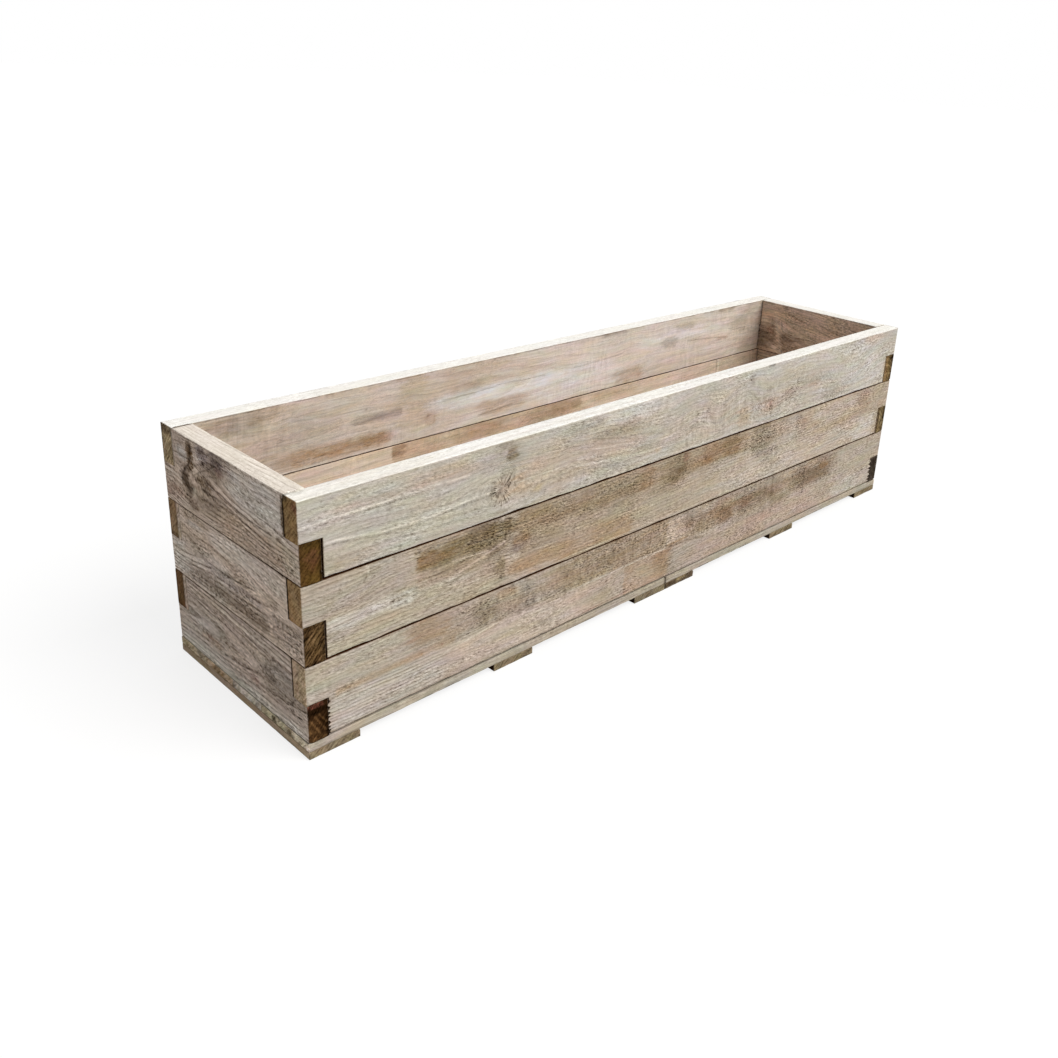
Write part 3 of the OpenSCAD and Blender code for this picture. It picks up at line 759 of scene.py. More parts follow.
BOARDS["left_end_board_middle"] = {
    "seed": 15,
    "seam": (0.08, 0.5),
    "rough": (2.4, 0.6),
    "grainy": 2.2,
    "fibres": (1.05, 1.5),
    "gouged": (1.9, 0.0),
    "tinted": (0.4, 1.0),
    "bends": ((90, 200, 60, 24, 0.1), (330, 250, 70, 24, -0.12)),
    "heart": (79.0, 60.0),
    "lean": (0.0, 0.045),
    "wander": 2.0,
    "ring": 5.6,
    "outer": linear("d3bfae"),
    "ends": (None, linear("523e26")),
    "gaps": (1.5, 3.0),
    "patches": (
        (10, 230, 146, 232, 20, 50, 16, 12, 0.34, BLEACH), (60, 348, 153, 192, 20, 8, 14, 8, 0.45, SMOKE),
        (100, 346, 156, 186, 30, 12, 12, 8, 0.3, OLIVE), (150, 345, 160, 180, 30, 14, 10, 6, 0.3, UMBER),
        (130, 330, 194, 212, 20, 20, 8, 5, 0.4, PLUM), (355, 448, 163, 206, 4, 10, 12, 8, 0.5, SMOKE),
        (150, 405, 250, 288, 40, 20, 14, 6, 0.35, BLEACH), (-10, 62, 148, 214, 10, 20, 14, 6, 0.4, BLEACH),
        (62, 146, 272, 292, 14, 20, 8, 6, 0.5, OLIVE), (70, 130, 262, 274, 14, 20, 6, 4, 0.4, BLEACH),
        (45, 170, 225, 258, 20, 40, 12, 6, 0.3, SAND), ("finish", -4, 14, 196, 222, 3, 8, 8, 4, 0.6, SOOT_AND_SHADE),
        ("finish", -4, 44, 140, 150, 3, 3, 5, 3, 0.5, SOOT_AND_SHADE),
        ("finish", 34, 46, 140, 222, 3, 3, 4, 3, 0.45, INK),
    ),
    "lines": (
        (((125, 211), (150, 212), (230, 215), (270, 219), (302, 224)), 2.8, 0.75, BARK),
        (((145, 246), (190, 245), (240, 240), (280, 232), (318, 225)), 2.2, 0.45, UMBER),
        (((60, 225), (110, 236), (160, 240)), 2.2, 0.4, UMBER),
        (((40, 236), (100, 246), (150, 251)), 2.2, 0.45, UMBER),
        (((60, 262), (100, 250), (140, 256)), 2.2, 0.4, UMBER),
        (((130, 203), (230, 204), (340, 206), (350, 199)), 2.4, 0.4, UMBER),
        (((357, 206), (358, 180), (356, 160)), 2.2, 0.4, UMBER),
        (((357, 202), (400, 203), (446, 200)), 2.4, 0.5, UMBER),
        (((50, 184), (180, 188), (340, 190)), 2.2, 0.4, UMBER),
        (((60, 172), (200, 175), (345, 176)), 2.2, 0.4, UMBER),
        (((60, 161), (200, 163), (345, 165)), 2.2, 0.4, UMBER),
        ("finish", ((3, 176), (9, 192), (20, 206)), 2.6, 0.3, TAN),
        ("finish", ((12, 178), (18, 190), (30, 200)), 2.4, 0.3, TAN),
        ("finish", ((22, 176), (29, 186), (37, 190)), 2.4, 0.3, TAN),
        ("finish", ((5, 150), (10, 162), (20, 172)), 2.4, 0.3, TAN),
        ("finish", ((15, 150), (22, 161), (33, 168)), 2.4, 0.3, TAN),
        ("finish", ((24, 148), (31, 155), (38, 158)), 2.4, 0.3, TAN),
        ("finish", ((18, 208), (28, 212), (37, 210)), 2.4, 0.3, TAN),
        ("finish", ((8, 172), (16, 184), (27, 194), (36, 198)), 2.4, 0.35, SOOT_AND_SHADE),
        ("finish", ((2, 158), (9, 170), (22, 180), (34, 182)), 2.4, 0.35, SOOT_AND_SHADE),
    ),
    "dots": ((76, 190, 4.6, 0.7, UMBER),),
    "ridges": ((20, 450, 148, 212, 30, 10, 14, 6, 0.4),),
}

BOARDS["left_end_board_bottom"] = {
    "seed": 16,
    "seam": (0.08, 0.5),
    "rough": (2.05, 0.6),
    "grainy": 1.6,
    "fibres": (1.2, 1.5),
    "gouged": (1.4, 0.0),
    "tinted": (0.45, 1.0),
    "heart": (75.0, 54.0),
    "lean": (0.0, 0.05),
    "wander": 1.2,
    "ring": 6.8,
    "outer": linear("c6b4a5"),
    "ends": (None, linear("2f1e0f")),
    "gaps": (1.5, 2.2),
    "patches": (
        (10, 180, 8, 88, 20, 40, 14, 12, 0.34, BLEACH), (320, 450, 68, 112, 40, 14, 14, 9, 0.3, BLEACH),
        (10, 440, -6, 17, 14, 14, 6, 3, 0.85, CREAM), (312, 450, 30, 112, 14, 20, 16, 8, 0.35, SMOKE),
        (315, 420, 48, 104, 14, 20, 14, 8, 0.3, BARK), (40, 176, 66, 108, 20, 10, 12, 5, 0.35, ASH),
        (160, 184, 70, 92, 8, 6, 9, 3, 0.45, MOSS), (88, 172, 40, 60, 14, 20, 7, 5, 0.4, TAN),
        (266, 294, 33, 52, 9, 9, 8, 5, 0.4, WINE), (110, 134, 48, 56, 6, 6, 4, 3, 0.5, WINE),
        (-10, 450, 0, 28, 10, 10, 12, 5, 0.3, BLEACH), ("finish", -4, 20, -4, 40, 3, 8, 10, 6, 0.22, RUST),
        ("finish", 8, 36, -4, 10, 3, 6, 5, 3, 0.3, RUST),
        ("finish", -4, 30, 65, 74, 2, 5, 3, 1.5, 0.6, WINE),
        ("finish", -5, 45, 53, 63, 3, 3, 4, 2, 0.8, INK), ("finish", 33, 45, -5, 64, 4, 2, 6, 3, 0.8, INK),
    ),
    "lines": (
        (((36, 118), (110, 116), (170, 109), (230, 101), (270, 93), (300, 83), (315, 74), (298, 63),
         (278, 57), (238, 47), (170, 40)), 2.6, 0.6, BARK),
        (((40, 112), (110, 109), (150, 98), (173, 88), (179, 77), (160, 69), (112, 62), (50, 60)),
         2.2, 0.35, UMBER),
        (((160, 124), (240, 119), (320, 115), (402, 111)), 3.6, 0.6, BARK),
        (((170, 130), (260, 127), (402, 122)), 2.2, 0.5, CREAM),
        (((170, 137), (260, 134), (402, 128)), 2.2, 0.45, BARK),
        (((40, 137), (170, 138), (300, 140), (402, 136)), 2.2, 0.4, BARK),
        (((60, 52), (130, 50), (170, 55)), 2.4, 0.5, UMBER),
        (((320, 20), (360, 17), (402, 15)), 2.4, 0.5, BARK),
        (((200, 11), (300, 10), (402, 8)), 2.2, 0.35, UMBER),
        (((330, 64), (380, 60), (440, 56)), 2.4, 0.45, BARK),
        (((320, 44), (380, 41), (440, 36)), 2.4, 0.4, BARK),
        (((40, 30), (160, 28), (300, 30)), 2.2, 0.3, UMBER),
        (((398, 40), (410, 66), (424, 74), (446, 78)), 3.0, 0.5, BARK),
        ("finish", ((2, 26), (8, 15), (15, 3)), 2.8, 0.35, RUST),
        ("finish", ((6, 42), (14, 28), (24, 10)), 2.8, 0.42, RUST),
        ("finish", ((14, 48), (22, 34), (33, 16)), 2.8, 0.4, RUST),
        ("finish", ((22, 50), (29, 39), (36, 30)), 2.6, 0.3, RUST),
    ),
    "dots": (
        (146, 59, 3.6, 0.65, UMBER), (120, 51, 4.0, 0.6, WINE), (246, 42, 3.4, 0.5, UMBER),
        (430, 70, 4.0, 0.6, SOOT_AND_SHADE), (440, 72, 4.0, 0.5, SOOT_AND_SHADE),
    ),
    "ridges": ((40, 410, 108, 144, 20, 10, 10, 4, 0.4),),
}

BOARDS["back_board_top"] = {
    "seed": 17,
    "rough": (1.0, 0.36),
    "grainy": 1.5,
    "fibres": (1.0, 0.7),
    "tinted": (1.0, 1.05),
    "crest": 0.8,
    "swirl": 5.0,
    "bends": ((480, 360, 90, 24, 0.1),),
    "saws": ((40, 260, 330, 440, 14, 60, 20, 8, 0.42),),
    "heart": (70.0, -60.0),
    "lean": (0.01, 0.02),
    "flip": True,
    "inner": linear("e2d5c9"),
    "ends": (None, linear("ae997a")),
    "marked": "in",
    "chance": ("out",),
    "patches": (
        (40, 300, 292, 440, 20, 120, 20, 10, 0.42, DUN), (240, 700, 292, 440, 90, 160, 20, 10, 0.22, DUN),
        ("finish", 35, 44, 350, 440, 3, 2, 6, 2, 0.5, BARK),
        ("finish", -5, 45, 416, 440, 5, 5, 7, 5, 0.75, BARK),
        ("finish", 6, 34, 366, 416, 8, 8, 10, 5, 0.35, OLIVE),
        ("finish", -5, 5, 350, 440, 3, 3, 6, 2, 0.8, SOOT_AND_SHADE), (60, 190, 396, 430, 30, 40, 12, 8, 0.4, OLIVE),
        (200, 462, 298, 330, 60, 24, 12, 8, 0.75, TAN), (370, 460, 308, 324, 30, 16, 7, 5, 0.45, RUST),
        (366, 492, 354, 372, 20, 6, 7, 4, 0.5, SMOKE), (486, 565, 320, 436, 20, 20, 24, 12, 0.4, STRAW),
        (548, 584, 316, 346, 9, 9, 10, 5, 0.35, TAN), (580, 1120, 338, 376, 60, 80, 12, 7, 0.75, FROST),
        (600, 900, 376, 412, 60, 80, 12, 7, 0.35, SAND), (590, 820, 410, 440, 40, 60, 12, 6, 0.35, TAN),
        (700, 850, 303, 338, 24, 24, 10, 6, 0.45, TAN), (630, 720, 366, 392, 20, 20, 9, 6, 0.3, OLIVE),
        (860, 1200, 300, 338, 60, 40, 16, 8, 0.4, FROST), (1140, 1262, 292, 333, 20, 30, 14, 7, 0.5, TAN),
        (1090, 1185, 424, 440, 14, 14, 7, 4, 0.5, UMBER),
        (1225, 1560, 376, 405, 40, 60, 12, 6, 0.55, FROST),
        (1325, 1385, 358, 388, 12, 12, 10, 6, 0.4, SMOKE), (1375, 1455, 399, 417, 14, 14, 7, 5, 0.4, OLIVE),
        (1560, 1615, 344, 356, 12, 12, 6, 4, 0.4, TAN), (1600, 1705, 375, 404, 20, 20, 10, 6, 0.35, MOSS),
        (1560, 1625, 424, 440, 14, 14, 7, 4, 0.45, UMBER),
        (1640, 1770, 296, 440, 60, 10, 30, 12, 0.45, DUN), (1270, 1720, 292, 326, 40, 40, 12, 6, 0.3, SAND),
    ),
    "lines": (
        # Painted shade: a dark line just under the rim along the inner face
        (((40, 433.6), (900, 433.8), (1760, 433.6)), 2.0, 0.7, UMBER),
        (((160, 361), (176, 368), (200, 368), (217, 361), (200, 354), (176, 354), (160, 361)),
         2.2, 0.4, SMOKE),
        (((145, 362), (168, 374), (205, 374), (232, 362)), 2.2, 0.3, SMOKE),
        (((375, 357), (430, 361), (488, 368)), 3.4, 0.4, SMOKE),
        (((600, 364), (700, 366), (800, 369), (902, 366)), 2.6, 0.5, SMOKE),
        (((698, 309), (750, 312), (802, 316)), 3.0, 0.55, UMBER),
        (((1000, 368), (1100, 369), (1172, 374)), 2.6, 0.5, SMOKE),
        (((1430, 367), (1500, 360), (1560, 355), (1600, 350)), 2.8, 0.5, UMBER),
        (((240, 395), (330, 388), (420, 384), (500, 380)), 2.4, 0.3, SMOKE),
        (((920, 380), (960, 372), (1000, 368)), 2.4, 0.3, TAN),
        (((555, 322), (566, 316), (578, 322), (578, 334), (566, 340), (556, 334)), 2.4, 0.35, RUST),
        (((1610, 372), (1640, 366), (1690, 366)), 2.4, 0.4, SMOKE),
    ),
    "dots": (
        (745, 432, 4.0, 0.5, UMBER), (404, 384, 3.4, 0.5, UMBER), (560, 338, 4.0, 0.5, UMBER),
        (278, 372, 4.0, 0.35, SMOKE), (880, 425, 4.0, 0.35, UMBER),
    ),
}

BOARDS["back_board_middle"] = {
    "seed": 18,
    "rough": (1.0, 0.45),
    "fibres": (1.0, 0.8),
    "tinted": (1.0, 1.3),
    "heart": (90.0, -70.0),
    "flip": True,
    "inner": linear("e2cfbb"),
    "ends": (None, linear("957b5d")),
    "marked": "in",
    "chance": ("out",),
    "patches": (
        ("finish", 32, 44, 210, 296, 1.5, 2, 4, 1, 0.85, PINK),
        ("finish", 27, 34, 216, 292, 3, 1.5, 4, 2, 0.5, BARK),
        ("finish", -5, 33, 214, 226, 3, 1.5, 3, 2, 0.6, BARK),
        ("finish", -5, 4, 210, 296, 3, 2, 4, 2, 0.5, BARK), (465, 1055, 140, 300, 4, 60, 30, 10, 0.42, TAN),
        (466, 500, 262, 292, 3, 8, 10, 5, 0.6, RUST), (640, 780, 255, 294, 30, 30, 12, 7, 0.3, RUST),
        (845, 1000, 255, 294, 20, 30, 12, 7, 0.4, RUST), (995, 1032, 262, 284, 8, 8, 8, 4, 0.4, OLIVE),
        (1575, 1770, 140, 300, 3, 10, 30, 10, 0.34, DUN), (1060, 1250, 262, 294, 40, 40, 10, 6, 0.3, TAN),
        (1400, 1575, 150, 296, 60, 3, 14, 6, 0.35, SAND),
    ),
    "lines": (
        (((1576, 294), (1580, 240)), 3.6, 0.75, CREAM), (((1568, 294), (1572, 240)), 3.2, 0.45, UMBER),
        (((1726, 292), (1728, 240)), 3.2, 0.5, UMBER), (((1740, 292), (1741, 240)), 3.2, 0.5, UMBER),
        (((1733, 292), (1734, 240)), 2.6, 0.4, PINK),
    ),
}

BOARDS["back_board_bottom"] = {
    "seed": 19,
    "ends": (None, linear("6e543a")),
    "chance": ("out", "in"),
    "patches": (
        ("finish", 33, 44, 66, 150, 1.5, 2, 4, 1, 0.85, PINK),
        ("finish", 28, 34, 72, 148, 3, 1.5, 4, 2, 0.4, BARK),
        ("finish", -5, 34, 70, 84, 3, 1.5, 5, 3, 0.6, CHESTNUT),
        ("finish", -5, 5, 70, 150, 3, 2, 4, 2, 0.6, BARK),
    ),
}

BOARDS["right_end_board_top"] = {
    "seed": 20,
    "rough": (1.0, 1.4),
    "fibres": (1.0, 1.1),
    "grainy": 1.4,
    "gouged": (0.5, 0.7),
    "bends": ((220, 370, 160, 50, 0.2), (110, 340, 40, 30, 0.5)),
    "heart": (30.0, -40.0),
    "flip": True,
    "ends": (linear("75603f"), None),
    "marked": "in",
    "chance": ("out",),
    "patches": (
        ("start", 24, 38, 286, 362, 4, 3, 6, 3, 0.4, TAN),
        ("start", -4, 13, 286, 366, 3, 7, 6, 3, 0.75, BARK),
        ("start", -4, 26, 352, 368, 4, 10, 4, 3, 0.85, INK),
        ("start", 37, 44, 286, 350, 2, 2, 5, 2, 0.5, BARK), (36, 96, 292, 372, 6, 14, 18, 9, 0.6, CHESTNUT),
        (36, 66, 300, 350, 4, 10, 14, 7, 0.5, BARK), (112, 190, 292, 360, 10, 40, 18, 10, 0.6, CHESTNUT),
        (118, 150, 326, 352, 8, 14, 10, 6, 0.45, BARK), (60, 104, 350, 392, 10, 12, 10, 7, 0.35, WINE),
        (90, 215, 382, 430, 30, 50, 14, 9, 0.4, OLIVE), (130, 260, 358, 396, 20, 40, 12, 7, 0.4, ROSE),
        (36, 95, 404, 436, 8, 30, 10, 7, 0.4, SMOKE), (176, 300, 332, 360, 24, 30, 9, 6, 0.42, CHESTNUT),
        (240, 450, 372, 434, 60, 10, 14, 9, 0.35, SMOKE), (112, 130, 420, 431, 6, 7, 5, 3, 0.5, SOOT_AND_SHADE),
    ),
    "lines": (
        (((92, 398), (98, 372), (106, 344), (114, 320), (120, 300)), 6.0, 0.65, PINK),
        (((80, 392), (86, 366), (92, 338)), 3.6, 0.45, BARK),
        (((112, 386), (118, 362), (128, 344)), 3.6, 0.5, BARK),
        (((124, 414), (190, 398), (280, 372)), 3.0, 0.5, BARK),
        (((140, 404), (220, 384), (310, 356)), 2.8, 0.4, PINK),
        (((180, 422), (270, 400), (380, 372)), 2.8, 0.4, PINK),
        (((200, 412), (300, 386), (400, 358)), 3.0, 0.45, BARK),
        (((260, 424), (340, 408), (430, 388)), 3.0, 0.4, BARK),
        (((150, 376), (230, 354), (300, 332)), 3.0, 0.45, BARK),
        # Painted shade: the first of these lines, a dark line just under the rim along the inner face
        (((36, 431), (200, 432), (420, 431)), 3.0, 0.5, BARK), (((36, 345), (70, 346)), 2.6, 0.5, BARK),
        ("start", ((6, 298), (22, 301), (36, 299)), 2.6, 0.5, BARK),
        ("start", ((8, 312), (24, 314), (36, 312)), 2.6, 0.45, STRAW),
        ("start", ((6, 322), (22, 326), (37, 324)), 2.6, 0.5, BARK),
        ("start", ((10, 333), (24, 337), (37, 336)), 2.6, 0.45, STRAW),
        ("start", ((8, 344), (24, 347), (37, 346)), 2.6, 0.5, BARK),
        ("start", ((41, 292), (41, 350)), 2.4, 0.6, STRAW),
    ),
    "dots": ((142, 395, 4.0, 0.45, BARK),),
}

BOARDS["right_end_board_middle"] = {
    "seed": 21,
    "grainy": 1.5,
    "flip": True,
    "ends": (linear("766547"), None),
    "marked": "in",
    "chance": ("out",),
    "patches": (
        (30, 300, 240, 296, 10, 60, 20, 8, 0.5, CHESTNUT),
        ("start", 31, 44, 140, 222, 3, 2, 5, 3, 0.6, BARK),
        ("start", -4, 14, 180, 224, 3, 7, 9, 4, 0.8, INK),
        ("start", -4, 5, 140, 190, 2, 4, 6, 3, 0.5, BARK),
    ),
    "lines": (
        ("start", ((28, 216), (20, 196), (22, 170), (14, 148)), 3.0, 0.6, BARK),
        ("start", ((20, 216), (12, 194), (14, 176)), 2.4, 0.5, BARK),
        ("start", ((26, 206), (24, 184), (30, 160)), 3.0, 0.6, STRAW),
        ("start", ((18, 168), (20, 156), (26, 148)), 2.8, 0.5, STRAW),
        ("start", ((33, 212), (32, 190), (36, 170)), 2.6, 0.5, BARK),
    ),
}

BOARDS["right_end_board_bottom"] = {
    "seed": 22,
    "ends": (linear("5b5147"), None),
    "chance": ("out", "in"),
    "patches": (("start", 3, 44, 2, 70, 4, 3, 6, 5, 0.58, INK),),
}


def patch_mask(timber, u, v, row):
    """1 inside a stained patch and 0 outside. Its borders are soft, drawn out along the fibres in streaks by
    noise, and close in towards a soft end. Noise thins the stain here and there."""
    u0, u1, v0, v1, soft_start, soft_end, soft_across, ragged = row
    seed = timber["seed"] + int(u0 + 3 * v0)
    streaks = layered(seed, u / 22, v / 9) + 1.5 * layered(seed + 9, u / 55, v / 2.8, layers=2)
    wide_start = soft_start * (1.9 if soft_start > 7 else 1.0)
    wide_end = soft_end * (1.9 if soft_end > 7 else 1.0)
    start = ease((u - u0 + 1.7 * ragged * min(1.0, soft_start / 16) * streaks) / wide_start + 0.5)
    end = ease((u1 - u + 1.7 * ragged * min(1.0, soft_end / 16) * streaks) / wide_end + 0.5)
    along = start * end
    across = 0.5 * ragged * (layered(seed + 5, u / 34, v / 14) + 0.5 * noise(seed + 8, u / 6, v / 4))
    across = across - 0.42 * (v1 - v0) * (1 - along)
    up = ease((v - v0 + across) / (1.3 * soft_across) + 0.5)
    down = ease((v1 - v + across) / (1.3 * soft_across) + 0.5)
    density = np.clip(0.84 + 0.5 * layered(seed + 2, u / 17, v / 6), 0.3, 1.2)
    return along * up * down * density


def line_mask(timber, u, v, points, width):
    """1 on a line through the points, falling to 0 at its half width, wavering slightly and broken here and
    there by noise along it."""
    (u0, v0), u1 = points[0], points[-1][0]
    seed = timber["seed"] + int(u0 + 7 * v0)
    v = v + min(1.6, 0.03 * abs(u1 - u0)) * layered(seed, u / 38, v / 60)
    gap = np.full(len(u), 1e6)
    for (a, b), (c, d) in zip(points[:-1], points[1:]):
        t = np.clip(((u - a) * (c - a) + (v - b) * (d - b)) / ((c - a) ** 2 + (d - b) ** 2), 0, 1)
        gap = np.minimum(gap, np.hypot(u - a - t * (c - a), v - b - t * (d - b)))
    broken = np.clip(1 + 0.9 * layered(seed + 3, u / 14, v / 7), 0.15, 1)
    return (1 - ease(gap / width)) * broken


def dot_mask(timber, u, v, at_u, at_v, radius):
    """1 at a dot, falling to 0 at its ragged edge, which is a little longer along the grain."""
    gap = np.hypot((u - at_u) / 1.25, v - at_v) + 0.25 * radius * noise(timber["seed"] + 44, u / 3, v / 3)
    return 1 - ease(gap / radius)


def flow_round_knots(timber, u, v):
    """Height across the grain as the fibres see it: near a knot it is drawn in, by a bell-shaped share of
    the distance, so that rings and fibres part round the knot. A bend tilts them by its slope under a bell,
    and noise lets them wander everywhere."""
    for _, at_u, at_v, radius, *_ in timber["knots"]:
        reach = 3.2 * radius
        bell = np.exp(-0.5 * (((u - at_u) / (2.2 * reach)) ** 2 + ((v - at_v) / reach) ** 2))
        v = at_v + (v - at_v) * (1 - 0.72 * bell)
    for at_u, at_v, reach_u, reach_v, slope in timber["bends"]:
        bell = np.exp(-0.5 * (((u - at_u) / reach_u) ** 2 + ((v - at_v) / reach_v) ** 2))
        v = v - slope * (u - at_u) * bell
    return v + timber["swirl"] * layered(timber["seed"] + 63, u / 85, v / 40)


def growth_rings(timber, u, v, c):
    """Rings counted from the heart: the distance to a line that leans along the board and wanders, plus a
    little noise, over the width of a ring."""
    seed = timber["seed"]
    up, deep = timber["heart"]
    lean_up, lean_deep = timber["lean"]
    from_mid = u - timber["length"] / 2
    up = up + lean_up * from_mid + timber["wander"] * noise(seed + 11, u / 330)
    deep = deep + lean_deep * from_mid + timber["wander"] * noise(seed + 12, u / 410)
    away = np.hypot(v - up, c - deep)
    away = away + timber["ripple"] * layered(seed + 13, u / 90, v / 20, c / 26)
    return away / timber["ring"]


def chance_marks(timber, low, high):
    """Patches, lines and dots by chance for the faces whose marks aren't written down, in the same mix."""
    rng = np.random.default_rng(timber["seed"])
    length = timber["length"]
    patches, lines, dots = [], [], []
    for face in timber["chance"]:
        for _ in range(int(length / 60)):
            a, b = rng.uniform(-30, length - 20), rng.uniform(low - 10, high - 15)
            span, tall = rng.uniform(20, 190), rng.uniform(12, 60)
            colour = (MOSS, BLEACH, SAND, DUN, TAN, ROSE, SMOKE, OLIVE, RUST, UMBER)[rng.integers(10)]
            soft = (4, 20) if rng.random() < 0.2 else (20, 40)
            patches.append((face, a, a + span, b, b + tall, *soft, 12, 8, rng.uniform(0.2, 0.5), colour))
        for _ in range(int(length / 90)):
            a, b = rng.uniform(-20, length - 40), rng.uniform(low, high)
            span = rng.uniform(40, 260)
            rise = rng.uniform(-0.05, 0.05) * span
            colour = (SMOKE, UMBER, CREAM, SMOKE)[rng.integers(4)]
            points = ((a, b), (a + span / 2, b + rise), (a + span, b + 0.6 * rise))
            lines.append((face, points, 2.4, 0.4, colour))
        for _ in range(int(length / 70)):
            colour = (UMBER, WINE, SMOKE)[rng.integers(3)]
            place = rng.uniform(0, length), rng.uniform(low, high)
            dots.append((face, *place, rng.uniform(2.6, 4.5), 0.5, colour))
    return patches, lines, dots


# Millimetres from the ends: where the shoulders of the laps begin, where a shoulder stands on the bottom
# course, and how far the corners reach along the rim
SHOULDER_FROM = 12
SHOULDER_AT = 41.5
CORNER_REACH = 48

# What paint works out for each point and a timber's material reads, as well as the tone and the grain
FIELDS = ("rings", "speck", "ridge", "sawn", "nap", "fibres", "saw", "gouge", "tinted")


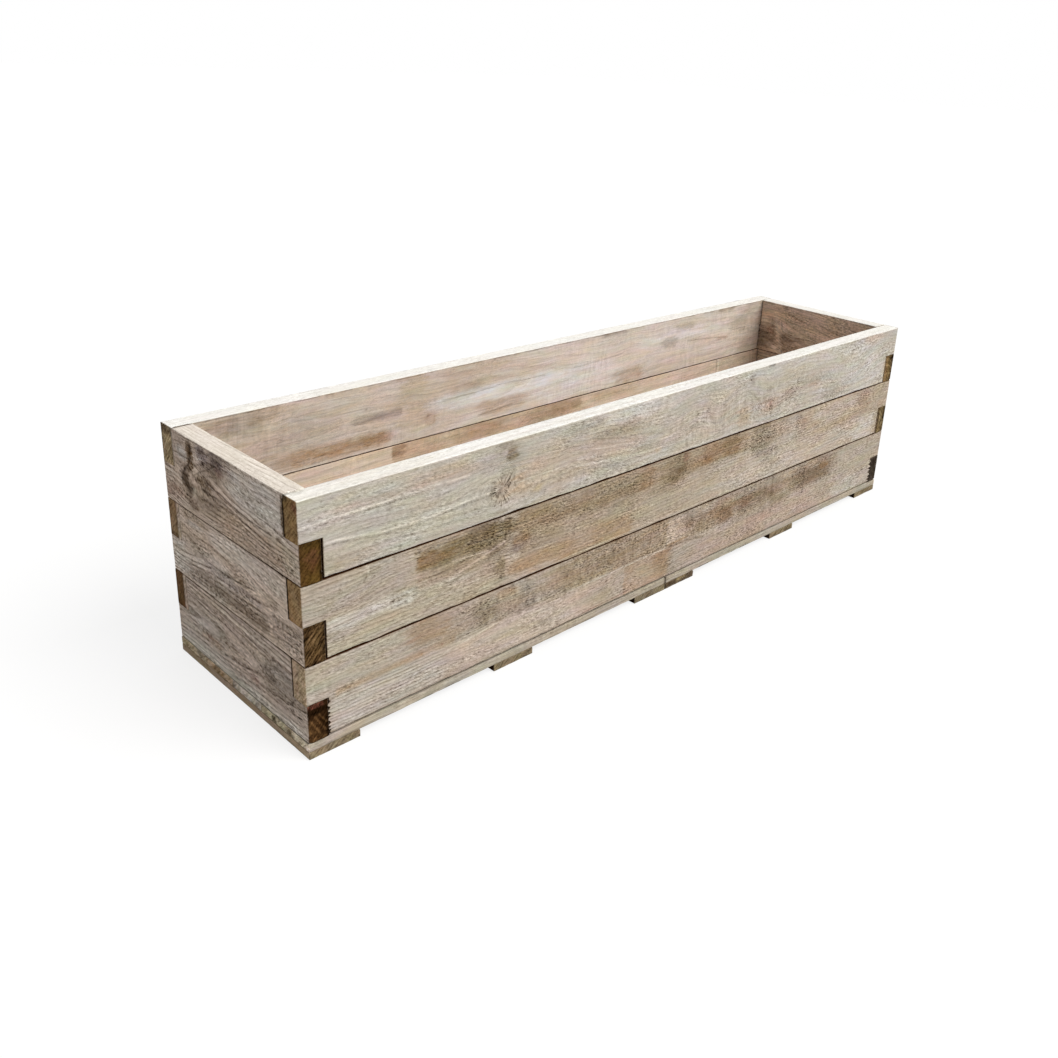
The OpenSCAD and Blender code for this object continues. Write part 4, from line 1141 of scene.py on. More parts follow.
def paint(timber, shape, tones):
    """Colour of every point of a board, the flow of its grain, and what its material reads.

    Patches, lines, dots and knots are laid over the face's own colour, and the rim takes the colour of the
    edge or the sawn end that it belongs to. Inside the joints it is painted dark, as shade with some dirt in
    the seams, and the arrises, shoulders and butt ends get painted shade too."""
    u, v, c = shape["u"], shape["v"], shape["c"]
    length, foot = timber["length"], tones["foot"]
    seed = timber["seed"]
    local = {
        **timber,
        "knots": [(f, a, b - foot, *r) for f, a, b, *r in timber["knots"]],
        "bends": [(length - a if timber["flip"] else a, b - foot, *r) for a, b, *r in timber["bends"]],
    }
    flow = flow_round_knots(local, u, v)
    rings = growth_rings(timber, u, flow, c)
    outer, rim = shape["outer"], shape["rim"]
    inner_tone = np.asarray(timber["inner"] or tones["inner"])
    rim_tone = timber["rim"] or tones["rim"]
    tone = mixed(inner_tone[None, :], timber["outer"] or tones["outer"], outer)
    upper = (shape["out_v"] > 0) & (shape["out_u"] == 0)
    lower = (shape["out_v"] < 0) & (shape["out_u"] == 0)
    sawn = rim * (shape["out_u"] != 0)
    top = upper & (v > shape["height"] - 6)
    open_top = top & tones["open_top"]
    # Painted shade along the arrises: on the top arris, patchy and weaker at the corners of the open top,
    # and on the lower arris inside the joints
    crest = 4 * rim * (1 - rim)
    patchy = np.clip(0.5 + 0.9 * layered(seed + 45, u / 40, c / 30), 0, 1)
    corner = np.minimum(u, length - u) < CORNER_REACH
    tone = mixed(tone, UMBER, crest * timber["crest"] * top * patchy * (1 - 0.8 * corner * open_top))
    tone = mixed(tone, UMBER, crest * 0.5 * lower * tones["joints"])
    tone = mixed(tone, rim_tone, rim * open_top)
    # Painted shade, with some dirt, inside the seams: the arrises hidden in the joints grow dark towards the
    # gap
    hidden = (upper & ~open_top | lower) & tones["joints"]
    tone = mixed(tone, SEAM_DIRT_AND_SHADE, rim ** 3 * hidden)
    for edge, side in zip(tones["edges"], (upper, lower)):
        tone = mixed(tone, edge, rim * side)
    near_start = u < length / 2
    for end, side in ((0, near_start), (1, ~near_start)):
        tone = mixed(tone, timber["ends"][end] or tones["sawn"], sawn * side)
    blotch = 1 + 0.22 * layered(seed + 46, c / 12, v / 26, u / 50) * 1.6 * sawn
    tone = tone * blotch[:, None]
    # Painted shade on the shoulders of the laps, inside the joints. Near the open rim they are painted in
    # the rim's pale colour instead, painted light that lifts the joint's shade there
    shoulder = np.minimum(u, length - u) > SHOULDER_FROM
    at_rim = ease((v - shape["height"] + 10) / 8) * timber["closes"]
    tone = mixed(tone, SOOT_AND_SHADE, sawn ** 3 * shoulder * (1 - at_rim))
    tone = mixed(tone, rim_tone, sawn * shoulder * at_rim * np.where(near_start, 0.15, 0.95))
    # Painted shade: the end that butts against the next board turns dark over its last few millimetres, in
    # the gap between them
    if tones["butt"]:
        away = u if tones["butt"] == "start" else length - u
        tone = mixed(tone, SOOT_AND_SHADE, 0.9 * ease(1 - away / 3.5) * (rim > 0))
    lift = 1 + 0.05 * layered(seed + 43, u / 90, c / 9, v / 40)
    tone = np.where((open_top & (rim > 0.5))[:, None], tone * lift[:, None], tone)

    flat_u = length - u if timber["flip"] else u
    z = v + foot
    places = {
        "out": (flat_u, z, outer * (1 - rim ** 2)),
        "in": (flat_u, z, (1 - outer) * (1 - rim ** 2)),
        "rim": (flat_u, c, rim * open_top),
        "start": (c, z, sawn * near_start * ~shoulder),
        "finish": (c, z, sawn * ~near_start * ~shoulder),
    }
    more = chance_marks(timber, foot, foot + shape["height"]) if tones["joints"] else ([], [], [])
    speck = np.zeros(len(u))
    base = tone.mean(1)

    def lay(face, box, margin, strength, colour, mask_of):
        """Lays one mark over the points near its box, and notes how far it darkens them."""
        along, up, share = places[face]
        low_u, high_u, low_v, high_v = box
        near = (along > low_u - margin) & (along < high_u + margin)
        near &= (up > low_v - margin) & (up < high_v + margin)
        at = np.nonzero(near & (share > 0))[0]
        if len(at):
            mask = mask_of(along[at], up[at]) * share[at] * strength
            tone[at] = mixed(tone[at], colour, mask)
            darker = np.clip(1.6 * (1 - np.mean(colour) / base[at]), 0, 1)
            speck[at] = np.maximum(speck[at], mask * darker)

    for face, *place, strength, colour in more[0] + timber["patches"]:
        box = place[:4]
        lay(face, box, 45, strength, colour, lambda a, b: patch_mask(timber, a, b, place))
    for face, points, width, strength, colour in more[1] + timber["lines"]:
        across = [p[0] for p in points]
        up = [p[1] for p in points]
        box = (min(across), max(across), min(up), max(up))
        lay(face, box, 8, strength, colour, lambda a, b: line_mask(timber, a, b, points, width))
    for face, at_u, at_v, radius, strength, colour in more[2] + timber["dots"]:
        box = (at_u, at_u, at_v, at_v)
        lay(face, box, 2 * radius, strength, colour, lambda a, b: dot_mask(timber, a, b, at_u, at_v, radius))
    for face, at_u, at_v, radius, strength, colour in timber["knots"]:
        box = (at_u, at_u, at_v, at_v)
        reach = 1.6 * radius
        lay(face, box, 4 * radius, strength, colour, lambda a, b: dot_mask(timber, a, b, at_u, at_v, reach))
    ridge = by_face(timber["ringed"], outer)
    for *place, strength in timber["ridges"]:
        ridge = np.maximum(ridge, patch_mask(timber, flat_u, z, place) * strength * outer)
    rim_top = rim * open_top
    coarser = 1 + timber["coarser"] * u / length
    nap = by_face(timber["rough"], outer) * coarser
    nap = nap + (0.65 - nap) * rim_top
    nap = nap * np.clip(0.85 + 0.9 * layered(seed + 62, flat_u / 70, z / 26, c / 40), 0.4, 1.6)
    nap = nap * (1 - 0.5 * sawn)
    plain = (1 - rim_top) * (1 - sawn)
    fibres = by_face(timber["fibres"], outer) * (1 - 0.6 * rim_top) * (1 - sawn)
    saw = np.clip(0.16 + 0.5 * layered(seed + 61, flat_u / 120, z / 60), 0.02, 0.5)
    for face, *place, strength in timber["saws"]:
        side = outer if face == "out" else 1 - outer
        saw = np.maximum(saw, patch_mask(timber, flat_u, z, place) * strength * side)
    gouge = by_face(timber["gouged"], outer)
    gouge = gouge * np.clip(0.6 + 1.3 * layered(seed + 64, flat_u / 110, z / 36), 0, 1.6) + 1.2 * speck
    return {
        "tone": tone,
        "flow": flow,
        "rings": rings,
        "speck": speck,
        "ridge": ridge,
        "sawn": sawn * timber["grainy"],
        "nap": nap,
        "fibres": fibres,
        "saw": saw * plain,
        "gouge": gouge * coarser * plain,
        "tinted": by_face(timber["tinted"], outer) * (1 - 0.75 * rim_top),
    }


def weather(timber, shape, seam):
    """Moves a board's points off the plain shape: faces swell by a fraction of a millimetre, arrises are
    chipped here and there, and the underside lifts by a gap that opens and closes along the seam. Laps at
    the open top close towards the rim, and torn shoulders get teeth along a sine."""
    u, v, c = shape["u"].copy(), shape["v"].copy(), shape["c"].copy()
    seed = timber["seed"]
    rim = shape["rim"]
    depth = shape["depth"]
    inward = np.where(shape["outer"] > 0, 1.0, -1.0)
    on_face = ((rim < 1) | (shape["c"] < 0.1) | (shape["c"] > depth - 0.1)).astype(float)
    swell = 0.35 * layered(seed + 51, u / 60, v / 24, shape["outer"] * 9)
    chip = np.clip(layered(seed + 52, u / 9, v / 9, shape["outer"] * 9) - 0.22, 0, 1) * 2.6
    near = (1 - rim) * (rim > 0) + 0.6 * (rim == 1) * ((c < 4) | (c > depth - 4))
    c += on_face * inward * (0.35 + swell) + inward * near * chip
    u -= shape["out_u"] * chip * near
    v -= shape["out_v"] * chip * near
    closed = ease((np.minimum(c, depth - c) - 3) / 6) * (rim == 1)
    first, last = timber["seam"]
    share = first + (last - first) * shape["u"] / shape["length"]
    gap = seam * share * (1 - 0.6 * shape["c"] / depth) * (0.75 + 0.4 * layered(seed + 53, shape["u"] / 45))
    v += np.clip(gap, 0, None) * (1 - ease(shape["v"] / 9)) * (1 - 0.95 * closed * (shape["out_v"] < 0))
    from_end = np.minimum(shape["u"], shape["length"] - shape["u"])
    shoulder = (shape["out_u"] != 0) & (from_end > SHOULDER_FROM)
    u += shape["out_u"] * closed * shoulder * 1.3
    if timber["closes"]:
        near_end = shoulder & (from_end < CORNER_REACH)
        near_rim = ease((shape["v"] - shape["height"] + 12) / 9)
        start = shape["u"] < shape["length"] / 2
        gap = np.where(start, *timber["gaps"]) - 0.5
        u += np.where(start, -gap, gap) * near_end * near_rim
    for side, low, high, pitch, reach in timber["torn"]:
        at = SHOULDER_AT if side == "start" else shape["length"] - SHOULDER_AT
        sign = 1 if side == "start" else -1
        inside = sign * (shape["u"] - at)
        teeth = 0.5 + 0.5 * np.sin(2 * math.pi * shape["v"] / pitch + 2.5 * noise(seed + 54, v / 11))
        band = ease((shape["v"] - low) / 4) * ease((high - shape["v"]) / 4)
        near_cut = np.exp(-np.clip(inside + 2, 0, None) / 5) * (inside > -3)
        hold = np.clip(1 - np.abs(shape["c"]) / 14, 0, 1)
        push = (teeth - 0.35) * band * near_cut * hold
        u -= sign * reach * push
        c -= 2.4 * np.clip(push, 0, 0.4)
    return u, v, c


def make_mesh(name, points, faces):
    """A mesh of the given points, in metres, and quads."""
    mesh = bpy.data.meshes.new(name)
    mesh.from_pydata(points.tolist(), [], faces.tolist())
    mesh.validate()
    mesh.shade_smooth()
    piece = bpy.data.objects.new(name, mesh)
    bpy.context.scene.collection.objects.link(piece)
    return piece


def store(piece, name, kind, values):
    """Keeps one value for each point of a piece under a name that its material reads."""
    layer = piece.data.attributes.new(name, kind, "POINT")
    field = {"FLOAT": "value", "FLOAT_VECTOR": "vector", "FLOAT_COLOR": "color"}[kind]
    layer.data.foreach_set(field, np.ascontiguousarray(values, np.float32).ravel())


# Directions along and up the outer face of each kind of board, as seen in front of it
DIRECTIONS = {
    "front": ((1, 0, 0), (0, 0, 1)),
    "back": ((-1, 0, 0), (0, 0, 1)),
    "left": ((0, -1, 0), (0, 0, 1)),
    "right": ((0, 1, 0), (0, 0, 1)),
    "flat": ((1, 0, 0), (0, 1, 0)),
    "cross": ((0, 1, 0), (-1, 0, 0)),
}


# Metres that the grain's pattern moves on from one seed to the next, so that no two boards share it
PATTERN_STEP = 0.731


def dress(node, facing, slot, tones, material, step, rise, notch=None, seam=0.0, arris=1.2):
    """Builds the timber that stands for one CAD node, on the node's own box, with sizes in millimetres."""
    along, up = (np.array(d, float) for d in DIRECTIONS[facing])
    outward = np.cross(along, up)
    low, high = (np.array(p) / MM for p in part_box(node))
    mid, size = (low + high) / 2, high - low
    length, height, depth = (abs(size @ d) for d in (along, up, outward))
    corner = mid - along * length / 2 - up * height / 2 + outward * depth / 2
    timber = {**TIMBER, **BOARDS[node], "length": length}
    for kind in ("knots", "patches", "lines", "dots", "saws"):
        timber[kind] = [r if isinstance(r[0], str) else (timber["marked"], *r) for r in timber[kind]]
    if notch:
        where, lap, level = notch
        start, finish = (lap + gap for gap in timber["gaps"])
        notch = (where, start, finish, level)
    shape = board_surface(length, height, depth, arris, step, rise, notch)
    timber["closes"] = notch is not None and notch[0] == "upper" and tones["open_top"]
    painted = paint(timber, shape, tones)
    u, v, c = weather(timber, shape, seam)
    points = corner + u[:, None] * along + v[:, None] * up - c[:, None] * outward
    piece = make_mesh(node + "_timber", points * MM, shape["faces"])
    shift = timber["seed"] * PATTERN_STEP
    across = shape["c"] * MM * timber["slant"]
    grain = np.stack([shape["u"] * MM + shift, painted["flow"] * MM + shift, across], 1)
    store(piece, "tone", "FLOAT_COLOR", np.concatenate([painted["tone"], np.ones((len(u), 1))], 1))
    store(piece, "grain", "FLOAT_VECTOR", grain)
    for field in FIELDS:
        store(piece, field, "FLOAT", painted[field])
    piece.data.materials.append(material)
    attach(piece, "root")
    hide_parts(node)


class Tree:
    """Builds a material's node tree in plain steps."""

    def __init__(self, name):
        self.material = bpy.data.materials.new(name)
        self.material.use_nodes = True
        self.nodes = self.material.node_tree.nodes
        self.links = self.material.node_tree.links
        self.nodes.clear()
        self.shader = self.nodes.new("ShaderNodeBsdfPrincipled")
        output = self.nodes.new("ShaderNodeOutputMaterial")
        self.links.new(self.shader.outputs[0], output.inputs[0])

    def put(self, node, socket, value):
        """Links a value that is a socket, and writes one that is a number or colour."""
        target = node.inputs[socket]
        if isinstance(value, bpy.types.NodeSocket):
            self.links.new(value, target)
        else:
            target.default_value = value

    def attribute(self, name, output):
        """A value or colour kept for each point of the piece."""
        node = self.nodes.new("ShaderNodeAttribute")
        node.attribute_name = name
        return node.outputs[output]

    def maths(self, operation, a, b=0.0, clamp=False):
        """One operation on two sockets or numbers, kept within 0 and 1 if asked."""
        node = self.nodes.new("ShaderNodeMath")
        node.operation = operation
        node.use_clamp = clamp
        self.put(node, 0, a)
        self.put(node, 1, b)
        return node.outputs[0]

    def scaled(self, vector, scale, turn=(0, 0, 0)):
        """Turns the pattern about its own middle and then squeezes it by the scale."""
        node = self.nodes.new("ShaderNodeMapping")
        node.vector_type = "TEXTURE"
        self.put(node, "Vector", vector)
        node.inputs["Scale"].default_value = tuple(1 / s for s in scale)
        node.inputs["Rotation"].default_value = turn
        return node.outputs[0]

    def speckle(self, vector, detail=2.0, roughness=0.6):
        """Noise centred on zero, from about -0.5 to 0.5."""
        node = self.nodes.new("ShaderNodeTexNoise")
        self.put(node, "Vector", vector)
        node.inputs["Scale"].default_value = 1.0
        node.inputs["Detail"].default_value = detail
        node.inputs["Roughness"].default_value = roughness
        return self.maths("SUBTRACT", node.outputs["Fac"], 0.5)

    def ranged(self, value, low, high, to_low=0.0, to_high=1.0):
        """A smooth step from one value to another as the input goes from low to high."""
        node = self.nodes.new("ShaderNodeMapRange")
        node.interpolation_type = "SMOOTHSTEP"
        self.put(node, "Value", value)
        node.inputs["From Min"].default_value = low
        node.inputs["From Max"].default_value = high
        node.inputs["To Min"].default_value = to_low
        node.inputs["To Max"].default_value = to_high
        return node.outputs[0]

    def blended(self, share, a, b, kind="MIX"):
        """Colours a and b, in the given share of b."""
        node = self.nodes.new("ShaderNodeMix")
        node.data_type = "RGBA"
        node.blend_type = kind
        self.put(node, 0, share)
        self.put(node, 6, a)
        self.put(node, 7, b)
        return node.outputs[2]

    def star(self, x, z, reach, strength):
        """Dark checks that run outwards from a knot in the front: noise read along the direction from its
        middle, so that it changes quickly round it and slowly outwards, fading at the reach."""
        place = self.nodes.new("ShaderNodeTexCoord").outputs["Object"]
        flat = self.nodes.new("ShaderNodeVectorMath")
        flat.operation = "MULTIPLY_ADD"
        self.put(flat, 0, place)
        flat.inputs[1].default_value = (1, 0, 1)
        flat.inputs[2].default_value = (-x, 0, -z)
        length = self.nodes.new("ShaderNodeVectorMath")
        length.operation = "LENGTH"
        self.put(length, 0, flat.outputs[0])
        toward = self.nodes.new("ShaderNodeVectorMath")
        toward.operation = "NORMALIZE"
        self.put(toward, 0, flat.outputs[0])
        wavy = self.nodes.new("ShaderNodeVectorMath")
        wavy.operation = "MULTIPLY_ADD"
        self.put(wavy, 0, flat.outputs[0])
        wavy.inputs[1].default_value = (40, 40, 40)
        self.put(wavy, 2, self.scaled(toward.outputs[0], (7, 7, 7)))
        checks = self.ranged(self.speckle(wavy.outputs[0], 2.0), 0.03, 0.12)
        away = length.outputs["Value"]
        share = self.times(self.ranged(away, reach, 0.45 * reach), self.ranged(away, 0.002, 0.008))
        return self.times(checks, share, -strength)

    def carried(self, operation, parts):
        """One operation carried through all the parts from the first."""
        total = parts[0]
        for part in parts[1:]:
            total = self.maths(operation, total, part)
        return total

    def summed(self, *parts):
        """The sum of sockets and numbers."""
        return self.carried("ADD", parts)

    def times(self, *parts):
        """The product of sockets and numbers."""
        return self.carried("MULTIPLY", parts)


def sawn_timber(name, rings=0.22, stars=()):
    """Rough-sawn softwood: fibres drawn out along the grain, a mottled weathering, saw marks across it in
    places, a torn nap with dark pits that is coarser where the wood is stained, a dark line at the end of
    each ring, and faint pink and straw tints. A star is a knot's burst of checks at a place on the front, in
    metres: its middle, reach and strength."""
    tree = Tree(name)
    tone = tree.attribute("tone", "Color")
    grain = tree.attribute("grain", "Vector")
    values = (tree.attribute(field, "Fac") for field in FIELDS)
    count, speck, ridge, sawn, nap, fibres, saw, gouge, tinted = values
    long_fibre = tree.speckle(tree.scaled(grain, (8, 320, 320)), 4.0, 0.6)
    weathered = tree.speckle(tree.scaled(grain, (82, 250, 250), (0, 0, math.radians(-5))), 4.0, 0.66)
    mottle = tree.speckle(tree.scaled(grain, (16, 38, 38)), 3.0, 0.55)
    pink = tree.speckle(tree.scaled(grain, (11, 42, 42), (0.3, 0, 0)), 3.0, 0.55)
    straw = tree.speckle(tree.scaled(grain, (13, 50, 50), (-0.4, 0, 0)), 3.0, 0.55)
    fine_saw = tree.speckle(tree.scaled(grain, (230, 20, 20), (0, 0, math.radians(6))), 2.0)
    wide_saw = tree.speckle(tree.scaled(grain, (95, 34, 34), (0, 0, math.radians(3))), 2.0)
    saw_marks = tree.summed(tree.times(fine_saw, 0.7), wide_saw)
    furrows = tree.speckle(tree.scaled(grain, (42, 160, 160), (0, 0, math.radians(-8))), 3.0, 0.6)
    gouges = tree.times(tree.ranged(furrows, 0.05, 0.2), gouge)
    torn = tree.speckle(tree.scaled(grain, (150, 400, 400), (0, 0, math.radians(-16))), 3.0, 0.72)
    dimples = tree.speckle(tree.scaled(grain, (90, 380, 380), (0, 0, math.radians(-8))), 2.0)
    pits = tree.ranged(dimples, 0.1, 0.28)
    streaks = tree.speckle(tree.scaled(grain, (45, 55, 300), (math.radians(40), 0, 0)), 3.0, 0.6)
    bursts = [tree.star(*star) for star in stars] or [0.0]
    wavering = tree.summed(
        count,
        tree.times(long_fibre, 0.45),
        tree.times(torn, 0.12),
        tree.times(streaks, sawn, 2.2),
    )
    way = tree.maths("FRACT", wavering)
    late = tree.times(tree.ranged(way, 0.4, 0.92), tree.ranged(way, 0.995, 0.92))
    shown = tree.ranged(mottle, -0.1, 0.12, 0.25, 1.0)
    strong = tree.summed(
        tree.times(shown, tree.times(fibres, rings)),
        tree.times(ridge, 0.4),
        tree.times(sawn, 0.28),
    )
    rough = tree.summed(
        tree.times(weathered, 1.3),
        tree.times(mottle, 0.36),
        tree.times(torn, tree.summed(0.85, tree.times(speck, 3.8))),
        tree.times(pits, tree.summed(-0.36, tree.times(speck, -0.9))),
    )
    light = tree.summed(
        1.035,
        *bursts,
        tree.times(long_fibre, tree.times(fibres, 0.95)),
        tree.times(rough, nap),
        tree.times(saw_marks, saw),
        tree.times(streaks, sawn, 2.9),
        tree.times(furrows, gouge, 0.55),
        tree.times(gouges, -0.3),
        tree.times(gouge, 0.05),
        tree.times(late, strong, -0.95),
        tree.times(strong, 0.16),
    )
    light = tree.maths("MAXIMUM", light, 0.1)
    flecks = tree.times(weathered, speck, 1.1)
    shade = tree.nodes.new("ShaderNodeCombineColor")
    tints = ((0.93, 0.2, 0.06, 0.5), (1.0, -0.08, 0.0, 0.1), (1.08, 0.04, -0.38, -0.5))
    for channel, (power, pinkness, strawness, rust) in enumerate(tints):
        tint = tree.summed(
            1.0,
            tree.times(pink, pinkness, tinted),
            tree.times(straw, strawness, tinted),
            tree.times(flecks, rust),
        )
        tree.put(shade, channel, tree.times(tree.maths("POWER", light, power), tint))
    colour = tree.blended(1.0, tone, shade.outputs[0], "MULTIPLY")
    tree.put(tree.shader, "Base Color", colour)
    tree.put(tree.shader, "Roughness", tree.ranged(light, 0.5, 1.4, 0.95, 0.8))
    tree.shader.inputs["Specular IOR Level"].default_value = 0.0
    height = tree.summed(
        tree.times(long_fibre, 0.8),
        tree.times(saw_marks, saw),
        tree.times(torn, nap),
        tree.times(weathered, 0.6),
        tree.times(gouges, -0.5),
        tree.times(way, strong, -0.6),
    )
    bump = tree.nodes.new("ShaderNodeBump")
    bump.inputs["Strength"].default_value = 0.6
    bump.inputs["Distance"].default_value = 0.0012
    tree.put(bump, "Height", height)
    tree.put(tree.shader, "Normal", bump.outputs[0])
    return tree.material


def plated_steel(name, colour, roughness):
    """Zinc-plated steel with a fine crystal pattern and a little dulling."""
    tree = Tree(name)
    coordinates = tree.nodes.new("ShaderNodeTexCoord").outputs["Object"]
    crystals = tree.speckle(tree.scaled(coordinates, (900, 900, 900)), 3.0)
    dull = tree.speckle(tree.scaled(coordinates, (120, 120, 120)), 2.0)
    share = tree.maths("ADD", tree.times(crystals, 0.8), 0.5, True)
    dark = tuple(0.6 * x for x in colour) + (1.0,)
    tree.put(tree.shader, "Base Color", tree.blended(share, dark, tuple(colour) + (1.0,)))
    tree.put(tree.shader, "Roughness", tree.maths("ADD", tree.times(dull, 0.4), roughness, True))
    tree.shader.inputs["Metallic"].default_value = 1.0
    return tree.material


# The courses of each wall, from the ground up
COURSES = ("bottom", "middle", "top")


def wall_boards(context, facing, wall, slot, outer, inner, where, material, cell):
    """Dresses the three courses of one wall. A cell is so many times the front boards' grid cell."""
    sizes, colours = context.scene.trough_sizes, context.scene.trough_colours
    step, rise = sizes.cell_length / MM * cell[0], sizes.cell_height / MM * cell[1]
    nodes = [f"{wall}_board_{course}" for course in COURSES]
    foot = min(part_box(node)[0].z for node in nodes)
    for node in nodes:
        low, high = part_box(node)
        tones = {
            "outer": tuple(outer),
            "inner": tuple(inner),
            "rim": tuple(colours.rim),
            "sawn": tuple(colours.end_grain),
            "edges": (),
            "joints": True,
            "butt": None,
            "open_top": node.endswith("top"),
            "foot": (low.z - foot) / MM,
        }
        notch = (where, sizes.notch / MM, (high.z - low.z) / 2 / MM)
        dress(node, facing, slot, tones, material, step, rise, notch, sizes.seam / MM, sizes.arris / MM)


# Length and height of a grid cell on the floor boards and bearers, in millimetres
LOOSE_CELL = (5.0, 4.0)


def loose_tones(face, edges, end, butt=None):
    """Colours of a board that has no joints. Its edges are the one up or to the left, and the other, and the
    end that butts against another board is painted dark as shade."""
    return {
        "outer": tuple(face),
        "inner": tuple(face),
        "rim": tuple(face),
        "sawn": tuple(end),
        "edges": tuple(tuple(e) for e in edges),
        "joints": False,
        "butt": butt,
        "open_top": False,
        "foot": 0.0,
    }


# Knots with a burst of checks on the front: middle across and up, reach and strength
STARS = ((-0.489, 0.376, 0.042, 0.8), (0.275, 0.385, 0.05, 0.35), (0.33, 0.372, 0.03, 0.3))


class TROUGH_OT_front_boards(Operator):
    """Dresses the three front boards"""

    bl_idname = "trough.front_boards"
    bl_label = "Front boards"

    def execute(self, context):
        colours = context.scene.trough_colours
        wall_boards(
            context, "front", "front", "long_board",
            colours.front, colours.inner, "lower", sawn_timber("front_timber", stars=STARS), (1.0, 1.0),
        )
        return {"FINISHED"}


class TROUGH_OT_back_boards(Operator):
    """Dresses the three back boards"""

    bl_idname = "trough.back_boards"
    bl_label = "Back boards"

    def execute(self, context):
        colours = context.scene.trough_colours
        wall_boards(
            context, "back", "back", "long_board",
            colours.front, colours.inner, "lower", sawn_timber("back_timber"), (1.2, 1.3),
        )
        return {"FINISHED"}


class TROUGH_OT_left_boards(Operator):
    """Dresses the three boards of the left end"""

    bl_idname = "trough.left_boards"
    bl_label = "Left end boards"

    def execute(self, context):
        colours = context.scene.trough_colours
        material = sawn_timber("left_end_timber", rings=0.62)
        wall_boards(
            context, "left", "left_end", "end_board",
            colours.end_face, colours.inner, "upper", material, (0.65, 0.95),
        )
        return {"FINISHED"}


class TROUGH_OT_right_boards(Operator):
    """Dresses the three boards of the right end"""

    bl_idname = "trough.right_boards"
    bl_label = "Right end boards"

    def execute(self, context):
        colours = context.scene.trough_colours
        material = sawn_timber("right_end_timber", rings=0.3)
        wall_boards(
            context, "right", "right_end", "end_board",
            colours.front, colours.end_inner, "upper", material, (0.9, 1.3),
        )
        return {"FINISHED"}


# Sawn left ends of the left deck's boards, from the front backwards
DECK_ENDS = tuple(linear(code) for code in ("dccbb4", "cbbd9e", "ddd1bf", "bea78b", "c3b195"))

# Knots and stains on those ends, by the number of the board
DECK_STAINS = {
    2: (("start", 2, 13, 48, 62, 2, 2, 5, 3, 0.85, BARK), ("start", 4, 17, 0, 9, 2, 2, 4, 2, 0.75, BARK)),
    3: (("start", 0, 17, 84, 98, 2, 2, 5, 3, 0.5, UMBER),),
    4: (("start", 2, 15, 30, 76, 2, 2, 10, 5, 0.6, RUST),),
    5: (("start", 0, 10, 18, 36, 2, 2, 6, 3, 0.85, BARK),),
}


class TROUGH_OT_floor_boards(Operator):
    """Dresses the ten floor boards"""

    bl_idname = "trough.floor_boards"
    bl_label = "Floor boards"

    def execute(self, context):
        colours = context.scene.trough_colours
        material = sawn_timber("floor_timber", rings=0.15)
        for side, shift in (("left", 0), ("right", 10)):
            for number in range(1, 6):
                node = f"{side}_floor_board_{number}"
                BOARDS[node] = {"seed": 30 + number + shift, "heart": (30.0 + 6 * number, 60.0 - 8 * number)}
                BOARDS[node]["patches"] = DECK_STAINS.get(number, ()) if side == "left" else ()
                edges = (colours.floor_board, colours.floor_board)
                butt = "finish" if side == "left" else "start"
                tones = loose_tones(colours.floor_board, edges, DECK_ENDS[number - 1], butt)
                dress(node, "flat", "floor_board", tones, material, *LOOSE_CELL)
        return {"FINISHED"}


# Stains on the front end of the bearer right of the middle, across from its right side
JOINT_STAINS = (
    ("start", -4, 12, 60, 104, 3, 4, 12, 5, 0.75, SOOT_AND_SHADE),
    ("start", -4, 20, 4, 40, 3, 4, 10, 5, 0.3, SOOT_AND_SHADE),
    ("start", -4, 8, 30, 60, 3, 4, 8, 4, 0.4, STRAW),
)

# Sawn front ends of the bearers, from the left
BEARER_ENDS = tuple(linear(code) for code in ("867760", "84765e", "7d705b", "70614e", "84765e", "867760"))

# Long side of the bearer at either end, which weathers like the end boards
BEARER_SIDE = linear("b8a188")


class TROUGH_OT_bearers(Operator):
    """Dresses the six cross bearers"""

    bl_idname = "trough.bearers"
    bl_label = "Bearers"

    def execute(self, context):
        bearer = context.scene.trough_colours.bearer
        material = sawn_timber("bearer_timber", rings=0.12)
        names = ("left_end", "left_middle", "left_joint", "right_joint", "right_middle", "right_end")
        for number, name in enumerate(names):
            node = name + "_bearer"
            BOARDS[node] = {"seed": 60 + number, "heart": (35.0 + 9 * number, 26.0)}
            if name == "right_joint":
                BOARDS[node]["patches"] = JOINT_STAINS
            # Painted shade: the bearers' sides under the deck are dark, while the outer side of each end
            # bearer keeps its weathered colour
            edges = (BEARER_SIDE if number == 0 else SOOT_AND_SHADE, BEARER_SIDE if number == 5 else SOOT_AND_SHADE)
            tones = loose_tones(bearer, edges, BEARER_ENDS[number])
            dress(node, "cross", "bearer", tones, material, *LOOSE_CELL)
        return {"FINISHED"}


class TROUGH_OT_fastenings(Operator):
    """Gives the screws and nails their plating"""

    bl_idname = "trough.fastenings"
    bl_label = "Screws and nails"

    def execute(self, context):
        zinc = tuple(context.scene.trough_colours.zinc)
        screws = plated_steel("zinc_plated_screw", zinc, 0.38)
        nails = plated_steel("galvanised_nail", tuple(0.8 * x for x in zinc), 0.55)
        found = 0
        for name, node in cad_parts.items():
            if "screws" in name or "nails" in name:
                node.data.materials.clear()
                node.data.materials.append(screws if "screws" in name else nails)
                found += 1
        if found == 0:
            raise RuntimeError("the frame has no screws or nails")
        return {"FINISHED"}


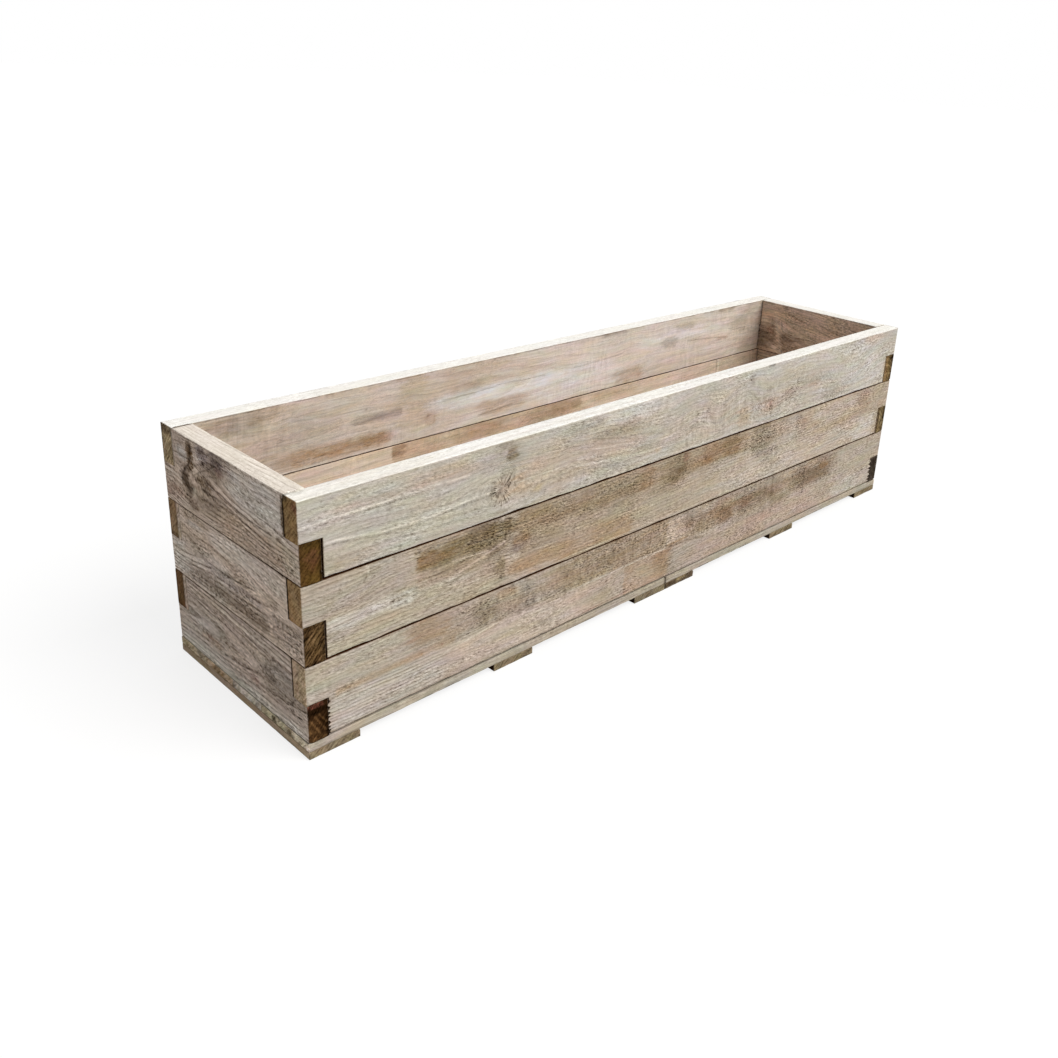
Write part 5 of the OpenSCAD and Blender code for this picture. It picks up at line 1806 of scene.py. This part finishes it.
def pale_floor():
    """Pale floor that reads as plain white round the object and keeps its soft shadow."""
    tree = Tree("pale_floor")
    tree.shader.inputs["Roughness"].default_value = 0.9
    tree.shader.inputs["Specular IOR Level"].default_value = 0.0
    path = tree.nodes.new("ShaderNodeLightPath")
    seen = tree.maths("MAXIMUM", path.outputs["Is Camera Ray"], path.outputs["Is Glossy Ray"])
    seen = tree.maths("MAXIMUM", seen, path.outputs["Is Transmission Ray"])
    tree.put(tree.shader, "Base Color", tree.blended(seen, (0.56, 0.56, 0.56, 1), (0.24, 0.24, 0.24, 1)))
    tree.shader.inputs["Emission Color"].default_value = (1, 1, 1, 1)
    tree.put(tree.shader, "Emission Strength", tree.times(seen, 0.79))
    return tree.material


# Half the side of the square floor, in metres
FLOOR_HALF = 30.0

# The main light: how wide it is seen, its colour and the way it shines
KEY_ANGLE = math.radians(40)
KEY_COLOUR = (1.0, 0.985, 0.96)
KEY_WAY = Vector((-0.30, 0.62, -0.72))

# Width of the camera's film in millimetres, and how far it sees in metres
FILM_WIDTH = 36
FAR_LIMIT = 100


class TROUGH_OT_stage(Operator):
    """Makes the floor, the even light, the main light and the camera"""

    bl_idname = "trough.stage"
    bl_label = "Stage"

    def execute(self, context):
        scene = context.scene
        stage = scene.trough_stage
        square = FLOOR_HALF * np.array([(-1, -1, 0), (1, -1, 0), (1, 1, 0), (-1, 1, 0)])
        floor = make_mesh("stage_floor", square, np.array([[0, 1, 2, 3]]))
        floor.data.materials.append(pale_floor())

        world = bpy.data.worlds.new("even_sky")
        scene.world = world
        world.use_nodes = True
        nodes, links = world.node_tree.nodes, world.node_tree.links
        background = nodes["Background"]
        path = nodes.new("ShaderNodeLightPath")
        seen = nodes.new("ShaderNodeMath")
        seen.operation = "MAXIMUM"
        links.new(path.outputs["Is Camera Ray"], seen.inputs[0])
        links.new(path.outputs["Is Glossy Ray"], seen.inputs[1])
        strength = nodes.new("ShaderNodeMapRange")
        strength.inputs["To Min"].default_value = stage.sky
        strength.inputs["To Max"].default_value = 1.0
        links.new(seen.outputs[0], strength.inputs["Value"])
        links.new(strength.outputs[0], background.inputs["Strength"])
        background.inputs["Color"].default_value = (1, 1, 1, 1)

        key = bpy.data.objects.new("key_light", bpy.data.lights.new("key_light", "SUN"))
        key.data.energy = stage.key
        key.data.angle = KEY_ANGLE
        key.data.color = KEY_COLOUR
        key.rotation_euler = KEY_WAY.to_track_quat("-Z", "Y").to_euler()
        scene.collection.objects.link(key)

        camera = bpy.data.objects.new("camera", bpy.data.cameras.new("camera"))
        camera.location = stage.camera_place
        camera.rotation_euler = stage.camera_turn
        camera.data.lens = stage.lens
        camera.data.sensor_width = FILM_WIDTH
        camera.data.shift_x = stage.shift_x
        camera.data.shift_y = stage.shift_y
        camera.data.clip_end = FAR_LIMIT
        scene.collection.objects.link(camera)
        scene.camera = camera
        scene.view_settings.view_transform = "Standard"
        return {"FINISHED"}


# The operators in the order in which main calls them
STEPS = (
    TROUGH_OT_stage,
    TROUGH_OT_front_boards,
    TROUGH_OT_back_boards,
    TROUGH_OT_left_boards,
    TROUGH_OT_right_boards,
    TROUGH_OT_floor_boards,
    TROUGH_OT_bearers,
    TROUGH_OT_fastenings,
)


class TROUGH_PT_panel(Panel):
    """Lists the pieces of the trough"""

    bl_label = "Trough raised bed"
    bl_idname = "TROUGH_PT_panel"
    bl_space_type = "VIEW_3D"
    bl_region_type = "UI"
    bl_category = "Trough"

    def draw(self, context):
        """Shows the sizes, colours and stage values, and a button for each step."""
        for group in (context.scene.trough_sizes, context.scene.trough_colours, context.scene.trough_stage):
            box = self.layout.box()
            for name in group.__annotations__:
                box.prop(group, name)
        for step in STEPS:
            self.layout.operator(step.bl_idname)


CLASSES = (TroughSizes, TroughColours, TroughStage) + STEPS + (TROUGH_PT_panel,)


def register():
    """Makes the classes and their values known to Blender."""
    for cls in CLASSES:
        bpy.utils.register_class(cls)
    bpy.types.Scene.trough_sizes = PointerProperty(type=TroughSizes)
    bpy.types.Scene.trough_colours = PointerProperty(type=TroughColours)
    bpy.types.Scene.trough_stage = PointerProperty(type=TroughStage)


def unregister():
    """Takes back what register did."""
    del bpy.types.Scene.trough_stage
    del bpy.types.Scene.trough_colours
    del bpy.types.Scene.trough_sizes
    for cls in reversed(CLASSES):
        bpy.utils.unregister_class(cls)


def main():
    """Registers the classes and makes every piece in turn."""
    register()
    for step in STEPS:
        group, name = step.bl_idname.split(".")
        getattr(getattr(bpy.ops, group), name)()


if __name__ == "__main__":
    main()
